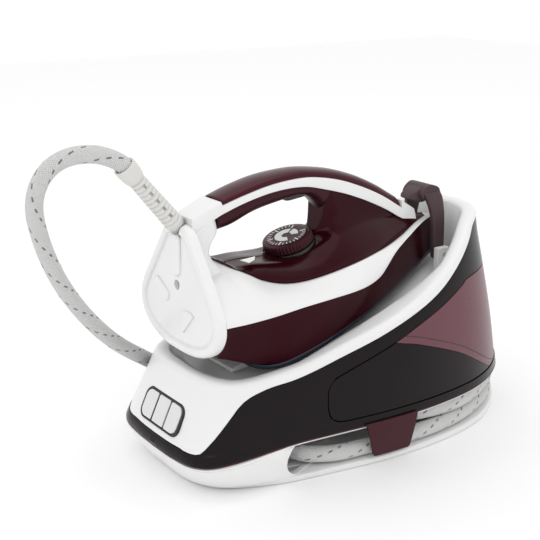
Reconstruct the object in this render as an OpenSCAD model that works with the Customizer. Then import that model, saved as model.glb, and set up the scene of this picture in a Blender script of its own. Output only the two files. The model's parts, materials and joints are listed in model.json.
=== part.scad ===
// Steam generator iron: a steam station with a hand iron parked on its sloping rest,
// a rear slide-out water tank, a lock arch over the nose and a textile steam hose.
// Millimetres, +Z up, -X is the control panel end, +X is the tank end.

/* [Base] */
// length scale of the station plan outline
plan_k = 1.0; // [0.9:0.01:1.1]
// top of the white tray at the sides
tray_top = 37; // [34:1:40]
// depth of the hose groove
groove_d = 18; // [15:1:20]
// wall thickness of the station shells
wall = 3; // [2:0.5:4]
// inset of the resting dish from the outside
dish_in = 12; // [8:1:16]

/* [Tank] */
// underside height of the water tank
tank_z = 58; // [54:1:64]
// tank wall thickness
tank_wall = 2.5; // [2:0.5:4]
// half width of the tank saddle
saddle_w = 66; // [60:1:70]

/* [Panel] */
// key width
key_w = 18; // [14:0.5:20]
// key height
key_h = 21; // [16:0.5:26]
// gap around each key
key_gap = 0.6; // [0.4:0.1:1.5]

/* [Iron] */
// tilt of the parked soleplate
tilt = 14.4; // [10:0.1:20]
// height of the soleplate plane above the origin
sole_z = 116; // [110:1:122]
// soleplate thickness
sole_t = 5; // [4:0.5:8]
// dial diameter
dial_d = 45; // [40:1:54]

/* [Hose] */
// hose outside diameter
hose_d = 13.6; // [12:0.2:15]

/* [Hidden] */
$fn = 48;
na = 48;
eps = 0.01;
hose_sides = 8;

// ---------- helper functions ----------
function seg(k, t, i = 0) = i >= len(t) - 2 || k < t[i + 1][0] ? i : seg(k, t, i + 1);
function slp(t, i) = i <= 0 ? (t[1][1] - t[0][1]) / (t[1][0] - t[0][0])
  : i >= len(t) - 1 ? (t[i][1] - t[i - 1][1]) / (t[i][0] - t[i - 1][0])
  : (t[i + 1][1] - t[i - 1][1]) / (t[i + 1][0] - t[i - 1][0]);
function smooth(k, t) =
  k <= t[0][0] ? t[0][1] : k >= t[len(t) - 1][0] ? t[len(t) - 1][1] :
  let (i = seg(k, t), h = t[i + 1][0] - t[i][0], s = (k - t[i][0]) / h, s2 = s * s, s3 = s2 * s)
  (2 * s3 - 3 * s2 + 1) * t[i][1] + (s3 - 2 * s2 + s) * h * slp(t, i)
  + (3 * s2 - 2 * s3) * t[i + 1][1] + (s3 - s2) * h * slp(t, i + 1);
function clampv(v, a, b) = min(max(v, a), b);
function mean(p) = [for (k = [0:2]) let (s = [for (q = p) q[k]]) sumv(s) / len(s)];
function sumv(s, i = 0) = i >= len(s) ? 0 : s[i] + sumv(s, i + 1);

// six times the signed volume under a list of triangles
function vol6(p, f, i = 0, s = 0) = i >= len(f) ? s : vol6(p, f, i + 1,
  s + p[f[i][0]] * cross(p[f[i][1]], p[f[i][2]]));
function outward(p, f) = vol6(p, f) < 0 ? f : [for (q = f) [q[0], q[2], q[1]]];

// solid through a list of closed rings with the same point count, fan caps about each end's middle
module loft(r) {
  n = len(r[0]);
  m = len(r);
  pts = concat([for (q = r) for (p = q) p], [mean(r[0]), mean(r[m - 1])]);
  side = [for (j = [0:m - 2]) for (i = [0:n - 1]) let (k = (i + 1) % n, a = j * n)
    each [[a + i, a + k, a + n + k], [a + i, a + n + k, a + n + i]]];
  lo = [for (i = [0:n - 1]) [m * n, (i + 1) % n, i]];
  hi = [for (i = [0:n - 1]) [m * n + 1, (m - 1) * n + i, (m - 1) * n + (i + 1) % n]];
  polyhedron(points = pts, faces = outward(pts, concat(side, lo, hi)), convexity = 8);
}

// closed band: ring list that returns to its first ring
module band(r) {
  n = len(r[0]);
  m = len(r);
  pts = [for (q = r) for (p = q) p];
  f = [for (j = [0:m - 1]) for (i = [0:n - 1]) let (k = (i + 1) % n, a = j * n, b = ((j + 1) % m) * n)
    each [[a + i, a + k, b + k], [a + i, b + k, b + i]]];
  polyhedron(points = pts, faces = outward(pts, f), convexity = 8);
}

// ---------- station outline ----------
// front to rear along x and half width, at the floor, the belt, the shoulder and the peak
x0 = [[0, -167], [15, -166], [30, -158], [45, -140], [60, -105], [75, -65], [90, -10], [110, 50], [130,
  104], [150, 147], [165, 176], [180, 186]];
y0 = [[0, 0], [15, 24], [30, 45], [45, 61], [60, 76], [75, 84], [90, 92], [110, 93], [130, 84], [150,
  62], [165, 33], [180, 0]];
x1 = [[0, -184], [15, -183], [30, -178], [45, -160], [60, -115], [75, -70], [90, -10], [110, 50], [130,
  105], [150, 148], [165, 178], [180, 188]];
y1 = [[0, 0], [15, 28], [30, 56], [45, 74], [60, 82], [75, 88], [90, 94], [110, 94], [130, 85], [150,
  64], [165, 34], [180, 0]];
x2 = [[0, -157], [15, -156], [30, -150], [45, -136], [60, -104], [75, -64], [90, -12], [110, 46], [130,
  99], [150, 139], [165, 166], [180, 174]];
y2 = [[0, 0], [15, 24], [30, 45], [45, 61], [60, 69], [75, 79], [90, 88], [110, 89], [130, 80], [150,
  60], [165, 32], [180, 0]];
x3 = [[0, -122], [15, -121], [30, -116], [45, -104], [60, -80], [75, -44], [90, 0], [110, 46], [130, 92],
  [150, 127], [165, 147], [180, 153]];
y3 = [[0, 0], [15, 19], [30, 35], [45, 48], [60, 54], [75, 62], [90, 69], [110, 71], [130, 64], [150,
  48], [165, 26], [180, 0]];
function half(a) = a > 180 ? 360 - a : a;
function sgn(a) = a > 180 ? 1 : -1;
function zmix(z, f0, f1, f2, f3) = z <= 30 ? smooth(z, [[0, f0], [14, f0 + (f1 - f0) * 0.62], [30, f1]])
  : smooth(z, [[30, f1], [95, f2], [180, f3]]);
function sx(a, z) = plan_k * zmix(z, smooth(half(a), x0), smooth(half(a), x1), smooth(half(a), x2),
  smooth(half(a), x3));
function sy(a, z) = sgn(a) * zmix(z, smooth(half(a), y0), smooth(half(a), y1), smooth(half(a), y2),
  smooth(half(a), y3));
// outline point pulled inward by d
function sp(a, z, d = 0) = let (p = [sx(a, z), sy(a, z)], q = [sx(a + 2,
  z) - sx(a - 2 + (a < 2 ? 360 : 0), z), sy(a + 2, z) - sy(a - 2 + (a < 2 ? 360 : 0), z)],
  l = norm(q), nn = [q[1], -q[0]] / l) [p[0] - nn[0] * d, p[1] - nn[1] * d, z];
angs = [for (i = [0:na - 1]) i * 360 / na];
function ring(z, d = 0) = [for (a = angs) let (p = sp(a, z, d)) [p[0], p[1], z]];

// lower edge of the white casing and its rim, by x
split_t = [[-186, 37], [-174, 37.5], [-166, 46], [-152, 62], [-138, 76], [-119, 83], [-90, 88], [-46,
  101], [-8, 112], [34, 126], [60, 137], [85, 152], [107, 168], [118, 178], [130, 183.5], [153, 186.5]];
rim_t = [[-186, 91], [-150, 91], [-130, 91.5], [-113, 93], [-85, 98], [-41, 111], [4, 124], [41, 138],
  [73, 154], [98, 170], [114, 181], [130, 188], [153, 191]];
function zfix(a, t, z, k) = k == 0 ? z : zfix(a, t, smooth(sx(a, z), t), k - 1);
function zsplit(a) = abs(half(a)) < 22 ? 37 : zfix(a, split_t, smooth(sx(a, 90), split_t), 6);
function zrim(a) = zfix(a, rim_t, smooth(sx(a, 90), rim_t), 6);

// ---------- tray ----------
function gw(a) = smooth(half(a), [[0, 0], [62, 0], [76, groove_d], [180, groove_d]]);
function gl(a) = smooth(half(a), [[0, 0], [30, 0], [60, 6], [180, 6]]);
function lowz(a) = smooth(half(a), [[0, 25], [30, 27], [50, 32], [70, tray_top], [180, tray_top]]);

module base_tray() color([0.93, 0.93, 0.93])
  difference() {
    band([
      [for (a = angs) sp(a, 0, 1.5)],
      [for (a = angs) sp(a, 1.2)],
      [for (a = angs) sp(a, 5)],
      [for (a = angs) sp(a, 6.5, gw(a))],
      [for (a = angs) sp(a, lowz(a) - 2.2, gw(a))],
      [for (a = angs) sp(a, lowz(a) - 1.9, min(gw(a), 1.5))],
      [for (a = angs) sp(a, lowz(a) - 0.4, min(gw(a), 1.5) * 0.6)],
      [for (a = angs) sp(a, lowz(a) - 0.4, gw(a) + 5)],
      [for (a = angs) sp(a, 3, gw(a) + 5)],
      [for (a = angs) sp(a, 0, gw(a) + 5)]
    ]);
    // mouth where the hose folds into the station, near side
    translate([-92, -90, 6.6])
      cube([156, 60, tray_top - 9]);
    translate([-92, -90, 2.1 + tray_top / 2])
      rotate([-90, 0, 0])
        cylinder(d = tray_top - 9, h = 60);
    // mouth for the hose outlet, far side
    translate([60, 44, 6.6])
      cube([92, 52, tray_top - 9]);
    // mains lead gland hole in the far side wall
    translate([-122, 60, 17])
      rotate([-90, 0, 0])
        cylinder(d = 12, h = 40);
  }

// floor plate that closes the tray and carries the inner parts
module base_chassis() color([0.55, 0.55, 0.57])
  difference() {
    loft([
      [for (a = angs) sp(a, 2, gw(a) + 6.6)],
      [for (a = angs) sp(a, 5, gw(a) + 6.6)]
    ]);
    for (p = [[-120, -45], [-120, 45], [110, -35], [110, 35]])
      translate([p[0], p[1], -1])
        cylinder(d = 4.4, h = 10);
  }

module tray_feet() color([0.12, 0.12, 0.12])
  for (p = [[-120, -52], [-120, 52], [120, -40], [120, 40]])
    translate([p[0], p[1], 0])
      difference() {
        cylinder(d = 13, h = 1.8);
        translate([0, 0, -1])
          cylinder(d = 5, h = 1.6);
      }

module base_screws() color([0.7, 0.7, 0.72])
  for (p = [[-120, -38], [-120, 38], [110, -28], [110, 28]])
    translate([p[0], p[1], 5])
      union() {
        cylinder(d = 7, h = 2.4);
      }

// ---------- dark side shell ----------
module tank_zone(g) {
  // side view of the tank, grown by g
  rotate([90, 0, 0])
    translate([0, 0, -130])
      linear_extrude(260)
        polygon(concat([[220, tank_z - g], [-62 - g, tank_z - g], [-66 - g, tank_z + 4]],
          [for (q = [[-63, 76], [-58, 82], [-49, 86], [2, 103], [31, 113.5], [59, 123], [88, 134], [100,
            138], [220, 138]]) [q[0] - g * 0.5, q[1] + g]]));
}

module side_shell() color([0.12, 0.08, 0.09])
  difference() {
    band([
      [for (a = angs) sp(a, lowz(a), 0.6)],
      [for (a = angs) sp(a, lowz(a) + 1, -0.4)],
      [for (a = angs) sp(a, min(lowz(a) + 9, zsplit(a) - 1), -0.4)],
      [for (a = angs) sp(a, min(lowz(a) + 10, zsplit(a) - 0.6), 0.2)],
      [for (a = angs) sp(a, lowz(a) + 10 + max(zsplit(a) - lowz(a) - 11, 0) * 0.5, 0.2)],
      [for (a = angs) sp(a, zsplit(a) - 0.2, 0.2)],
      [for (a = angs) sp(a, zsplit(a) - 0.2, wall + 0.2)],
      [for (a = angs) sp(a, lowz(a) + 10 + max(zsplit(a) - lowz(a) - 11, 0) * 0.5, wall + 0.2)],
      [for (a = angs) sp(a, lowz(a) + 1, wall + 0.2)],
      [for (a = angs) sp(a, lowz(a), wall + 0.2)]
    ]);
    tank_zone(0.8);
  }

// ---------- white upper casing ----------
function dish_w(x) = smooth(x, [[-150, 40], [-140, 50], [-120, 57], [-90, 62], [120, 62], [140, 40]]);
function dish_pt(a, z, d) = let (p = sp(a, z, d)) [clampv(p[0], -150, 145), clampv(p[1], -61.5, 61.5), z];
function floor_z(x) = max(80, 106 + 0.257 * x);
function dish_edge(a, d, up) = let (p = dish_pt(a, zrim(a), d)) [p[0], p[1], max(floor_z(p[0]), 84) + up];
function dish_in_pt(a, s, up) = let (p = dish_pt(a, zrim(a), dish_in + 6), x = -8 + (p[0] + 8) * s) [x,
  p[1] * s, floor_z(x) + up];

module casing_skin()
  loft([
    [for (a = angs) dish_in_pt(a, 0.12, 0)],
    [for (a = angs) dish_in_pt(a, 0.6, 0)],
    [for (a = angs) dish_in_pt(a, 0.97, 0)],
    [for (a = angs) let (p = dish_pt(a, zrim(a) - 4, dish_in)) p],
    [for (a = angs) let (p = dish_pt(a, zrim(a) - 0.8, dish_in - 3)) p],
    [for (a = angs) sp(a, zrim(a), 5)],
    [for (a = angs) sp(a, zrim(a) - 0.5, 2)],
    [for (a = angs) sp(a, zrim(a) - 3, 0.2)],
    [for (a = angs) sp(a, (zrim(a) + zsplit(a)) / 2, 0)],
    [for (a = angs) sp(a, zsplit(a) + 0.2, 0)],
    [for (a = angs) sp(a, zsplit(a) + 0.2, wall)],
    [for (a = angs) sp(a, (zrim(a) + zsplit(a)) / 2, wall)],
    [for (a = angs) sp(a, zrim(a) - 4, wall + 1.5)],
    [for (a = angs) let (p = dish_pt(a, zrim(a) - 4, dish_in - 3)) [clampv(p[0], -153, 147), clampv(p[1],
      -64, 64), p[2]]],
    [for (a = angs) let (p = dish_in_pt(a, 0.99, -3)) p],
    [for (a = angs) dish_in_pt(a, 0.6, -3)],
    [for (a = angs) dish_in_pt(a, 0.12, -3)]

  ]);

module upper_casing() color([0.95, 0.95, 0.95])
  difference() {
    union() {
      casing_skin();
      // arch pin bosses
      for (s = [-1, 1])
        translate([101, s * 26.5 - 3, 131])
          cube([13.8, 6, 24]);
    }
    // key window
    panel_frame()
      translate([-30, -13.5, -12])
        cube([60, 27, 24]);
    // arch pin hole
    translate([109, -40, 148])
      rotate([-90, 0, 0])
        cylinder(d = 4, h = 80);
  }

module rest_block() color([0.72, 0.72, 0.72])
  translate([0, 20, 0])
    rotate([90, 0, 0])
      linear_extrude(40)
        polygon([[-118, 81.6], [-89, 83.8], [-86, 84.6], [-86, 93.4], [-118, 85.2]]);

// ---------- key panel ----------
module panel_frame() {
  translate([-173.4, 0, 54.5])
    rotate([0, -64.6, 0])
      rotate([0, 0, 90])
        children();
}
module round_rect(w, h, r) {
  union() {
    square([w - 2 * r, h], center = true);
    square([w, h - 2 * r], center = true);
    for (i = [-1, 1])
      for (j = [-1, 1])
        translate([i * (w / 2 - r), j * (h / 2 - r)])
          circle(r);
  }
}
module panel_bezel() color([0.06, 0.06, 0.06])
  panel_frame()
    translate([0, 0, -6])
      linear_extrude(7)
        difference() {
          round_rect(59.4, 26.4, 8);
          for (i = [-1:1])
            translate([i * (key_w + 1), 0])
              round_rect(key_w, key_h + 1, 1.5);
        }
module key(i) {
  panel_frame()
    translate([i * (key_w + 1), 0, -5])
      union() {
        linear_extrude(8)
          round_rect(key_w - key_gap, key_h + 1 - key_gap, 1.2);
        translate([0, 0, -1])
          linear_extrude(1.2)
            circle(2.2);
      }
}
module key_left() color([0.82, 0.82, 0.82])
  key(1);
module key_middle() color([0.82, 0.82, 0.82])
  key(0);
module key_right() color([0.82, 0.82, 0.82])
  key(-1);
module control_board() color([0.1, 0.4, 0.2])
  panel_frame()
    union() {
      translate([-28, -13, -14])
        cube([56, 26, 1.6]);
      for (i = [-1:1])
        translate([i * (key_w + 1) - 3, -3, -12.5])
          cube([6, 6, 4]);
    }

// ---------- steam works in the station ----------
module boiler() color([0.75, 0.75, 0.77])
  translate([-106, 0, 42])
    union() {
      rotate([90, 0, 0])
        cylinder(d = 56, h = 84, center = true);
      rotate([90, 0, 0])
        cylinder(d = 44, h = 94, center = true);
      translate([0, -20, 26])
        cylinder(d = 10, h = 6);
      translate([0, 20, 26])
        cylinder(d = 10, h = 6);
      for (s = [-1, 1])
        translate([-10, s * 30 - 4, -36.8])
          cube([20, 8, 12]);
    }
module boiler_heater() color([0.35, 0.33, 0.32])
  translate([-106, 0, 9.6])
    rotate([90, 0, 0])
      cylinder(d = 7, h = 50, center = true);
module boiler_thermostat() color([0.85, 0.82, 0.7])
  translate([-106, 0, 70.2])
    cylinder(d = 15, h = 5);
module safety_valve() color([0.76, 0.6, 0.3])
  translate([-106, 20, 74.1])
    cylinder(d = 8, h = 1.4);
module boiler_strap() color([0.6, 0.6, 0.62])
  translate([-106, -10, 42])
    rotate([90, 0, 0])
      difference() {
        cylinder(d = 60, h = 8);
        translate([0, 0, -1])
          cylinder(d = 56.2, h = 10);
        translate([-40, 0, -1])
          cube([80, 40, 10]);
        translate([-40, -40, -1])
          cube([80, 14, 10]);
      }
module pump() color([0.2, 0.2, 0.22])
  translate([30, 22, 24])
    rotate([0, 90, 0])
      union() {
        cylinder(d = 26, h = 44);
        translate([0, 0, 44])
          cylinder(d = 9, h = 14);
        translate([0, 0, -12])
          cylinder(d = 9, h = 12);
      }
module pump_mount() color([0.1, 0.1, 0.1])
  for (x = [34, 62])
    translate([x, 14, 5.1])
      cube([6, 16, 5.7]);
module steam_valve() color([0.8, 0.8, 0.8])
  translate([-52, 12, 5.1])
    union() {
      cube([26, 26, 30]);
      translate([13, 13, 30])
        cylinder(d = 8, h = 8);
    }
module steam_tube() color([0.9, 0.9, 0.88])
  translate([-78.2, 25, 46.3])
    rotate([0, 90, 0])
      cylinder(d = 6, h = 44);
module feed_tube() color([0.9, 0.9, 0.88])
  translate([-25.8, 22, 24])
    rotate([0, 90, 0])
      cylinder(d = 6, h = 43.6);
module hose_outlet() color([0.76, 0.6, 0.3])
  translate([58, 50, 5.1])
    union() {
      translate([0, -5, 0])
        cube([12, 16, 28]);
    }
module mains_gland() color([0.15, 0.15, 0.15])
  translate([-122, 62, 17])
    rotate([-90, 0, 0])
      difference() {
        union() {
          cylinder(d = 11.8, h = 25);
          cylinder(d = 14, h = 5);
        }
        translate([0, 0, -1])
          cylinder(d = 7, h = 40);
      }
module tank_socket() color([0.25, 0.25, 0.27])
  translate([60, -20, 5.1])
    difference() {
      cylinder(d = 24, h = 52);
      translate([0, 0, 2])
        cylinder(d = 18, h = 60);
    }
module cord_clip() color([0.36, 0.16, 0.2])
  difference() {
    intersection() {
      band([
        for (z = [5.6, 18, 30, 38, 46, 54])
          [for (a = angs) sp(a, z, -2.8)],
        for (z = [54, 46, 38, 30, 18, 5.6])
          [for (a = angs) sp(a, z, -0.8)]
      ]);
      rotate([90, 0, 0])
        linear_extrude(140)
          polygon([[-33, 40], [21, 40], [13, 9], [-25, 9]]);
    }
    translate([-200, -60, 0])
      cube([400, 200, 100]);
  }

// ---------- lock arch ----------
function leg_ring(z, x0, x1, y0, y1) = [[x0, y0, z], [x1, y0, z], [x1, y1, z], [x0, y1, z]];
module lock_arch() color([0.29, 0.2, 0.22])
  difference() {
    union() {
      for (s = [-1, 1])
        loft([leg_ring(142, 105, 113, s * 17, s * 22.5), leg_ring(146, 102.5, 115, s * 16.8, s * 23),
          leg_ring(160, 102, 115.5, s * 16.5, s * 22.6),
          leg_ring(178, 102, 116.5, s * 15.5, s * 21.2), leg_ring(190, 101, 117, s * 13, s * 19),
            leg_ring(200, 98, 117, s * 10, s * 16.5),
          leg_ring(204, 97, 115, s * 8, s * 14)]);
      translate([0, 13, 0])
        rotate([90, 0, 0])
          linear_extrude(26)
            polygon([[102, 197], [116.5, 199], [113, 208], [101, 211], [93, 202], [99, 195]]);
      translate([0, 9, 0])
        rotate([90, 0, 0])
          linear_extrude(18)
            polygon([[85, 199.5], [88, 203], [101, 211], [104, 200], [99, 193.5]]);
    }
    translate([109, -40, 148])
      rotate([-90, 0, 0])
        cylinder(d = 4.1, h = 80);
  }
module arch_pin() color([0.7, 0.7, 0.72])
  for (s = [-1, 1])
    translate([109, s * 23.3 - 6.4, 148])
      rotate([-90, 0, 0])
        cylinder(d = 4, h = 12.8);

// ---------- water tank ----------
module tank_body(d, g) {
  // g is the inset from the tank's own faces
  difference() {
    intersection() {
      loft([for (z = [tank_z - 4, 80, 105, 125, 145]) [for (a = angs) sp(a, z, d)]]);
      tank_zone(-g);
    }
    // saddle under the resting dish
    translate([0, saddle_w + g, 0])
      rotate([90, 0, 0])
        linear_extrude(2 * (saddle_w + g))
          polygon([[-120, 70.6 - g], [102 + g, 127.7 - g], [102 + g, 220], [-120, 220]]);
    translate([0, 49 + g, 0])
      rotate([90, 0, 0])
        linear_extrude(98 + 2 * g)
          polygon([[90, 124.6 - g], [140, 137.4 - g], [140, 220], [90, 220]]);
  }
}
module tank_shell() color([0.43, 0.26, 0.29, 0.75])
  difference() {
    tank_body(0.4, 0);
    tank_body(0.4 + tank_wall, tank_wall);
    // valve hole
    translate([60, -20, tank_z - 1])
      cylinder(d = 12, h = 5);
    // filler mouth in the rear top
    translate([151, 0, 130])
      cylinder(d = 18, h = 20);
  }
module tank_cap() color([0.3, 0.18, 0.2])
  translate([151, 0, 135.4])
    difference() {
      cylinder(d = 17.9, h = 2.4);
      translate([-1.5, -6, 1.2])
        cube([3, 12, 2]);
    }
module tank_valve() color([0.85, 0.85, 0.85])
  translate([60, -20, tank_z + 0.1])
    union() {
      cylinder(d = 11.8, h = 6);
      translate([0, 0, 4.1])
        cylinder(d = 17, h = 2.4);
    }
module tank_seal() color([0.1, 0.1, 0.1])
  translate([60, -20, tank_z + 2.6])
    difference() {
      cylinder(d = 17, h = 1.5);
      translate([0, 0, -1])
        cylinder(d = 12, h = 5);
    }

// ---------- iron, drawn on its own soleplate plane ----------
module on_sole() {
  translate([0, 0, sole_z])
    rotate([0, -tilt, 0])
      children();
}
sole_t1 = [[-113, 0], [-112.4, 24], [-109, 40], [-102, 50], [-92, 56], [-77, 59], [-50, 58.5], [-30, 56],
  [6, 49.5], [38, 40], [65, 30], [90, 19.5], [108, 11.5], [122, 6.5], [129, 3.5], [132, 0]];
function sole_w(u) = smooth(u, sole_t1);
sole_u = [-112.4, -111, -109, -105.5, -102, -97, -92, -84, -77, -64, -50, -40, -30, -12, 6, 22, 38, 52,
  65, 78, 90, 99, 108, 115, 122, 126, 130, 132];
module sole_shape(g) {
  v = [for (u = sole_u) if (sole_w(u) > g + 0.01 || (g == 0 && u > 131)) u];
  polygon(concat([for (u = v) [u + (u < 0 ? g * 0.3 : 0), -max(sole_w(u) - g, 0.3)]],
    [for (i = [len(v) - 1:-1:0]) [v[i] + (v[i] < 0 ? g * 0.3 : 0), max(sole_w(v[i]) - g, 0.3)]]));
}
module soleplate() color([0.18, 0.2, 0.24])
  on_sole()
    difference() {
      linear_extrude(sole_t)
        sole_shape(0);
      for (s = [-1, 1])
        for (k = [0:5])
          translate([60 - k * 24, s * (14 + k * 5), -1])
            cylinder(d = 3, h = 3.5, $fn = 16);
    }
module heating_element() color([0.4, 0.38, 0.36])
  on_sole()
    translate([0, 0, sole_t + 3.2])
      union() {
        for (s = [-1, 1])
          translate([-80, s * 22, 0])
            rotate([0, 90, 0])
              cylinder(d = 6, h = 100);
        translate([20, 0, 0])
          rotate([0, 0, -90])
            rotate_extrude(angle = 180)
              translate([22, 0])
                circle(d = 6);
      }
module steam_cover() color([0.72, 0.72, 0.74])
  on_sole()
    translate([0, 0, sole_t + 6.6])
      linear_extrude(2)
        sole_shape(9.5);

// rings across the iron body, from bottom edge to top edge
ne = 5;
function prof(t, p) = p > 0 ? 1 - pow(t, p) : pow(1 - t, -p);
function sec(u, zb, wb, zt, wt, p, g = 0) = concat(
  [for (i = [0:ne]) let (t = i / ne) [u, -max(wt - g + (wb - wt) * prof(t, p), 0.4),
    zb + (zt - g - zb) * t]],
  [for (i = [ne:-1:0]) let (t = i / ne) [u, max(wt - g + (wb - wt) * prof(t, p), 0.4),
    zb + (zt - g - zb) * t]]);

skirt_e = [[-146, 61], [-138, 59], [-118, 54], [-94, 49], [-66, 44], [-36, 37], [-10, 30.5], [11, 26.5],
  [26, 26], [38, 29], [50, 32.5], [62, 34], [84, 34.5], [119, 34], [131, 30]];
skirt_w = [[-146, 61.5], [-118, 62.5], [-94, 63], [-66, 62.5], [-36, 60], [-3, 55], [15, 50], [30, 45],
  [46, 39], [62, 32], [78, 25], [95, 17.5], [110, 11.5], [122, 7.5], [131, 3]];
win_e = [[-112, 86], [-100, 83], [-93, 78], [-81, 67], [-64, 58], [-40, 52], [1, 47], [41, 41], [73, 37],
  [107, 36], [122, 35]];
win_w = [[-112, 22], [-100, 24], [-93, 28], [-81, 34], [-64, 40], [-40, 43], [1, 43], [41, 33.5], [73,
  21.5], [107, 8], [122, 4]];
lo_u = [-150, -140, -130, -120, -110, -98, -86, -72, -56, -40, -22, -4, 10, 24, 38, 52, 66, 80, 94, 106,
  116, 123, 129, 133];

module sole_skirt() color([0.27, 0.12, 0.15])
  on_sole()
    difference() {
      loft([for (u = lo_u) sec(u, smooth(u, [[-148, 26], [-132, 20], [-116, 13], [-104, 8], [-96,
        sole_t + 0.4], [134, sole_t + 0.4]]),
        max(smooth(u, [[-150, 46], [-130, 52], [-104, 54.5], [-88, 59.5], [-77, 60.5], [-50, 60], [-30,
          57.5], [6, 51], [38, 41.5], [65, 31.5], [90, 21], [108, 13], [122, 8], [133, 2]]), 1.5),
        smooth(u, skirt_e), smooth(u, skirt_w), -1)]);
      loft([for (u = [-160, -120, -104, -86, -72, -56, -40, -22, -4, 10, 24, 38, 52, 66, 80, 94, 106,
        114]) let (w = smooth(u, [[-150, 40], [-104, 50], [-88, 55.5], [-50, 56], [-30, 53.5], [6, 47],
        [38, 37.5], [65, 27.5], [90, 17], [108, 9], [114, 6]])) sec(u, -5, w, 100, w, 1)]);
      // rear cut along the heel
      heel_cut();
    }
module heel_cut() {
  // everything rearward of the upright heel plane, seen in the sole frame
  rotate([0, tilt, 0])
    translate([-300, -150, -150])
      cube([300 - 148.6, 300, 400]);
}
module iron_body() color([0.95, 0.95, 0.95])
  on_sole()
    difference() {
      union() {
        // lower ring
        difference() {
          loft([for (u = lo_u) let (t = u > 123) sec(u, smooth(u, skirt_e) + 0.3, smooth(u, skirt_w),
            t ? smooth(u, skirt_e) + 1.8 : max(smooth(u, win_e), smooth(u, skirt_e) + 1.8), t ? smooth(u,
            skirt_w) - 1 : smooth(max(u, -108), win_w) + (u < -108 ? (-108 - u) * 0.5 : 0), 1.7)]);
          loft([for (u = [-160, -140, -124, -108, -92, -76, -58, -40, -22, -4, 12, 28, 44, 58, 70, 84,
            98, 110]) sec(u, smooth(u, skirt_e) - 8, smooth(u, skirt_w) - 3, smooth(u, win_e) + 0.6,
            smooth(max(u, -108), win_w) - 3, 1.7)]);
        }
        // rear pillar
        loft([
          for (z = [62, 70, 80, 90, 100, 107, 113, 122]) let (b = smooth(z, [[62, 44], [70, 36], [80,
            27], [90, 21], [100, 18], [107, 17], [122, 16]]), r = smooth(z, [[62, -88], [70, -94], [80,
            -102], [90, -109], [100, -111], [107, -107], [113, -99.5], [122, -98]]))
            [for (q = [[-150, -1], [r - 6, -1], [r - 2, -0.85], [r, -0.4], [r, 0.4], [r - 2, 0.85],
              [r - 6, 1], [-150, 1]]) [q[0], q[1] * b, z]]
        ]);
      }
      // hollow of the rear pillar
      translate([-140, -12, 20])
        cube([26, 24, 84]);
      heel_cut();
      // room for the strip
      translate([-160, -60, 119])
        cube([100, 120, 60]);
    }

win_u = [-106, -98, -86, -72, -56, -40, -22, -8, 0];
ridge = [[-98, 83], [-80, 79], [-62, 73], [-46, 68.5], [-30, 67], [-12, 69], [10, 70], [40, 66], [70,
  57], [95, 48], [112, 40]];
pil_b = [[-9, 84], [-5, 92], [-6, 100], [-12, 107]];
module window_shell() color([0.2, 0.05, 0.08])
  on_sole()
    difference() {
      union() {
        loft([for (u = [-98, -93, -87, -80, -70, -58, -44, -28, -12, 6, 24, 42, 58, 74, 90, 104,
          116]) sec(u, smooth(u, win_e) + 0.7, smooth(u, win_w) - 0.9,
          max(smooth(u, ridge), smooth(u, win_e) + 1.7), smooth(u, [[-98, 20], [-60, 24], [-20, 24], [42,
            15], [90, 7], [116, 2]]), 1.8)]);
        // front pillar under the handle, from its foot to the strip
        loft([for (q = [[-14, 60, 72, 19, 17], [-10, 60, 84, 21, 16], [-5, 60, 92, 22, 15], [1, 60, 103,
          22, 14], [6, 60, 111.5, 22, 13.5], [14, 60, 107.5, 22, 13], [24, 59, 101, 21, 12.5],
          [36, 58, 92, 19, 12], [48, 56, 82.5, 17, 11], [60, 53, 73, 15, 10], [72, 49, 62, 12.5, 9], [84,
            45, 52, 10, 8], [92, 43, 46, 8.5, 7]])
          sec(q[0], q[1], q[3], q[2], q[4], -1.5)]);
      }
      // hollow
      loft([for (u = [-92, -80, -68, -54, -40, -26, -12, 6, 24, 42, 58, 70]) sec(u, 20, smooth(u,
        win_w) - 3.5, smooth(u, ridge) - 4, 14, 1.8)]);
      // seat and hole for the dial
      dial_place()
        cylinder(d = dial_d + 1, h = 24);
      dial_place()
        translate([0, 0, -30])
          cylinder(d = 9, h = 40);
    }

// handle layers between two heights measured down from the top line
top_l = [[-124, 134], [-107, 136.5], [-92, 138.5], [-67, 140], [-42, 139], [-12, 133.5], [8, 126.5], [28,
  117], [47, 105], [60, 95], [72, 84.5], [86, 70.5], [99, 57.5], [110, 47]];
// depth of the cap's lower edge and of the strip's lower edge below the top line
cap_d = [[-96, 4.5], [-60, 6], [0, 7], [30, 8.5], [50, 9.5], [90, 9.5]];
strip_d = [[-124, 14.5], [-96, 11.5], [-46, 12.5], [-14, 14.5], [14, 19], [44, 22], [72, 22.5], [90, 21],
  [102, 15], [108, 11]];
hu = [-90, -82, -68, -52, -36, -20, -4, 12, 28, 42, 56, 70, 82, 90];
function dome_sec(u, w, d) = let (z = smooth(u, top_l))
  [for (i = [0:8]) let (a = 180 * i / 8) [u, -w * cos(a), z - d + d * sin(a)]];
function hw(u) = smooth(u, [[-96, 14], [-60, 15], [0, 13.5], [50, 11], [90, 7.5]]);
module handle_cap() color([0.3, 0.1, 0.13])
  on_sole()
    loft([for (u = hu) dome_sec(u, hw(u), smooth(u, cap_d) - 0.2)]);
function strip_sec(u, t0) = let (z = smooth(u, top_l), w = smooth(u, [[-124, 13], [-100, 14.5], [-60,
  16], [0, 14.5], [50, 12], [90, 8.5], [108, 6]]), t1 = max(smooth(u, strip_d), t0 + 2))
  [[u, -w + 1, z - t0], [u, -w, z - t0 - (t1 - t0) * 0.2], [u, -w - 0.5, z - t1], [u, w + 0.5, z - t1],
    [u, w, z - t0 - (t1 - t0) * 0.2], [u, w - 1, z - t0]];
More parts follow.
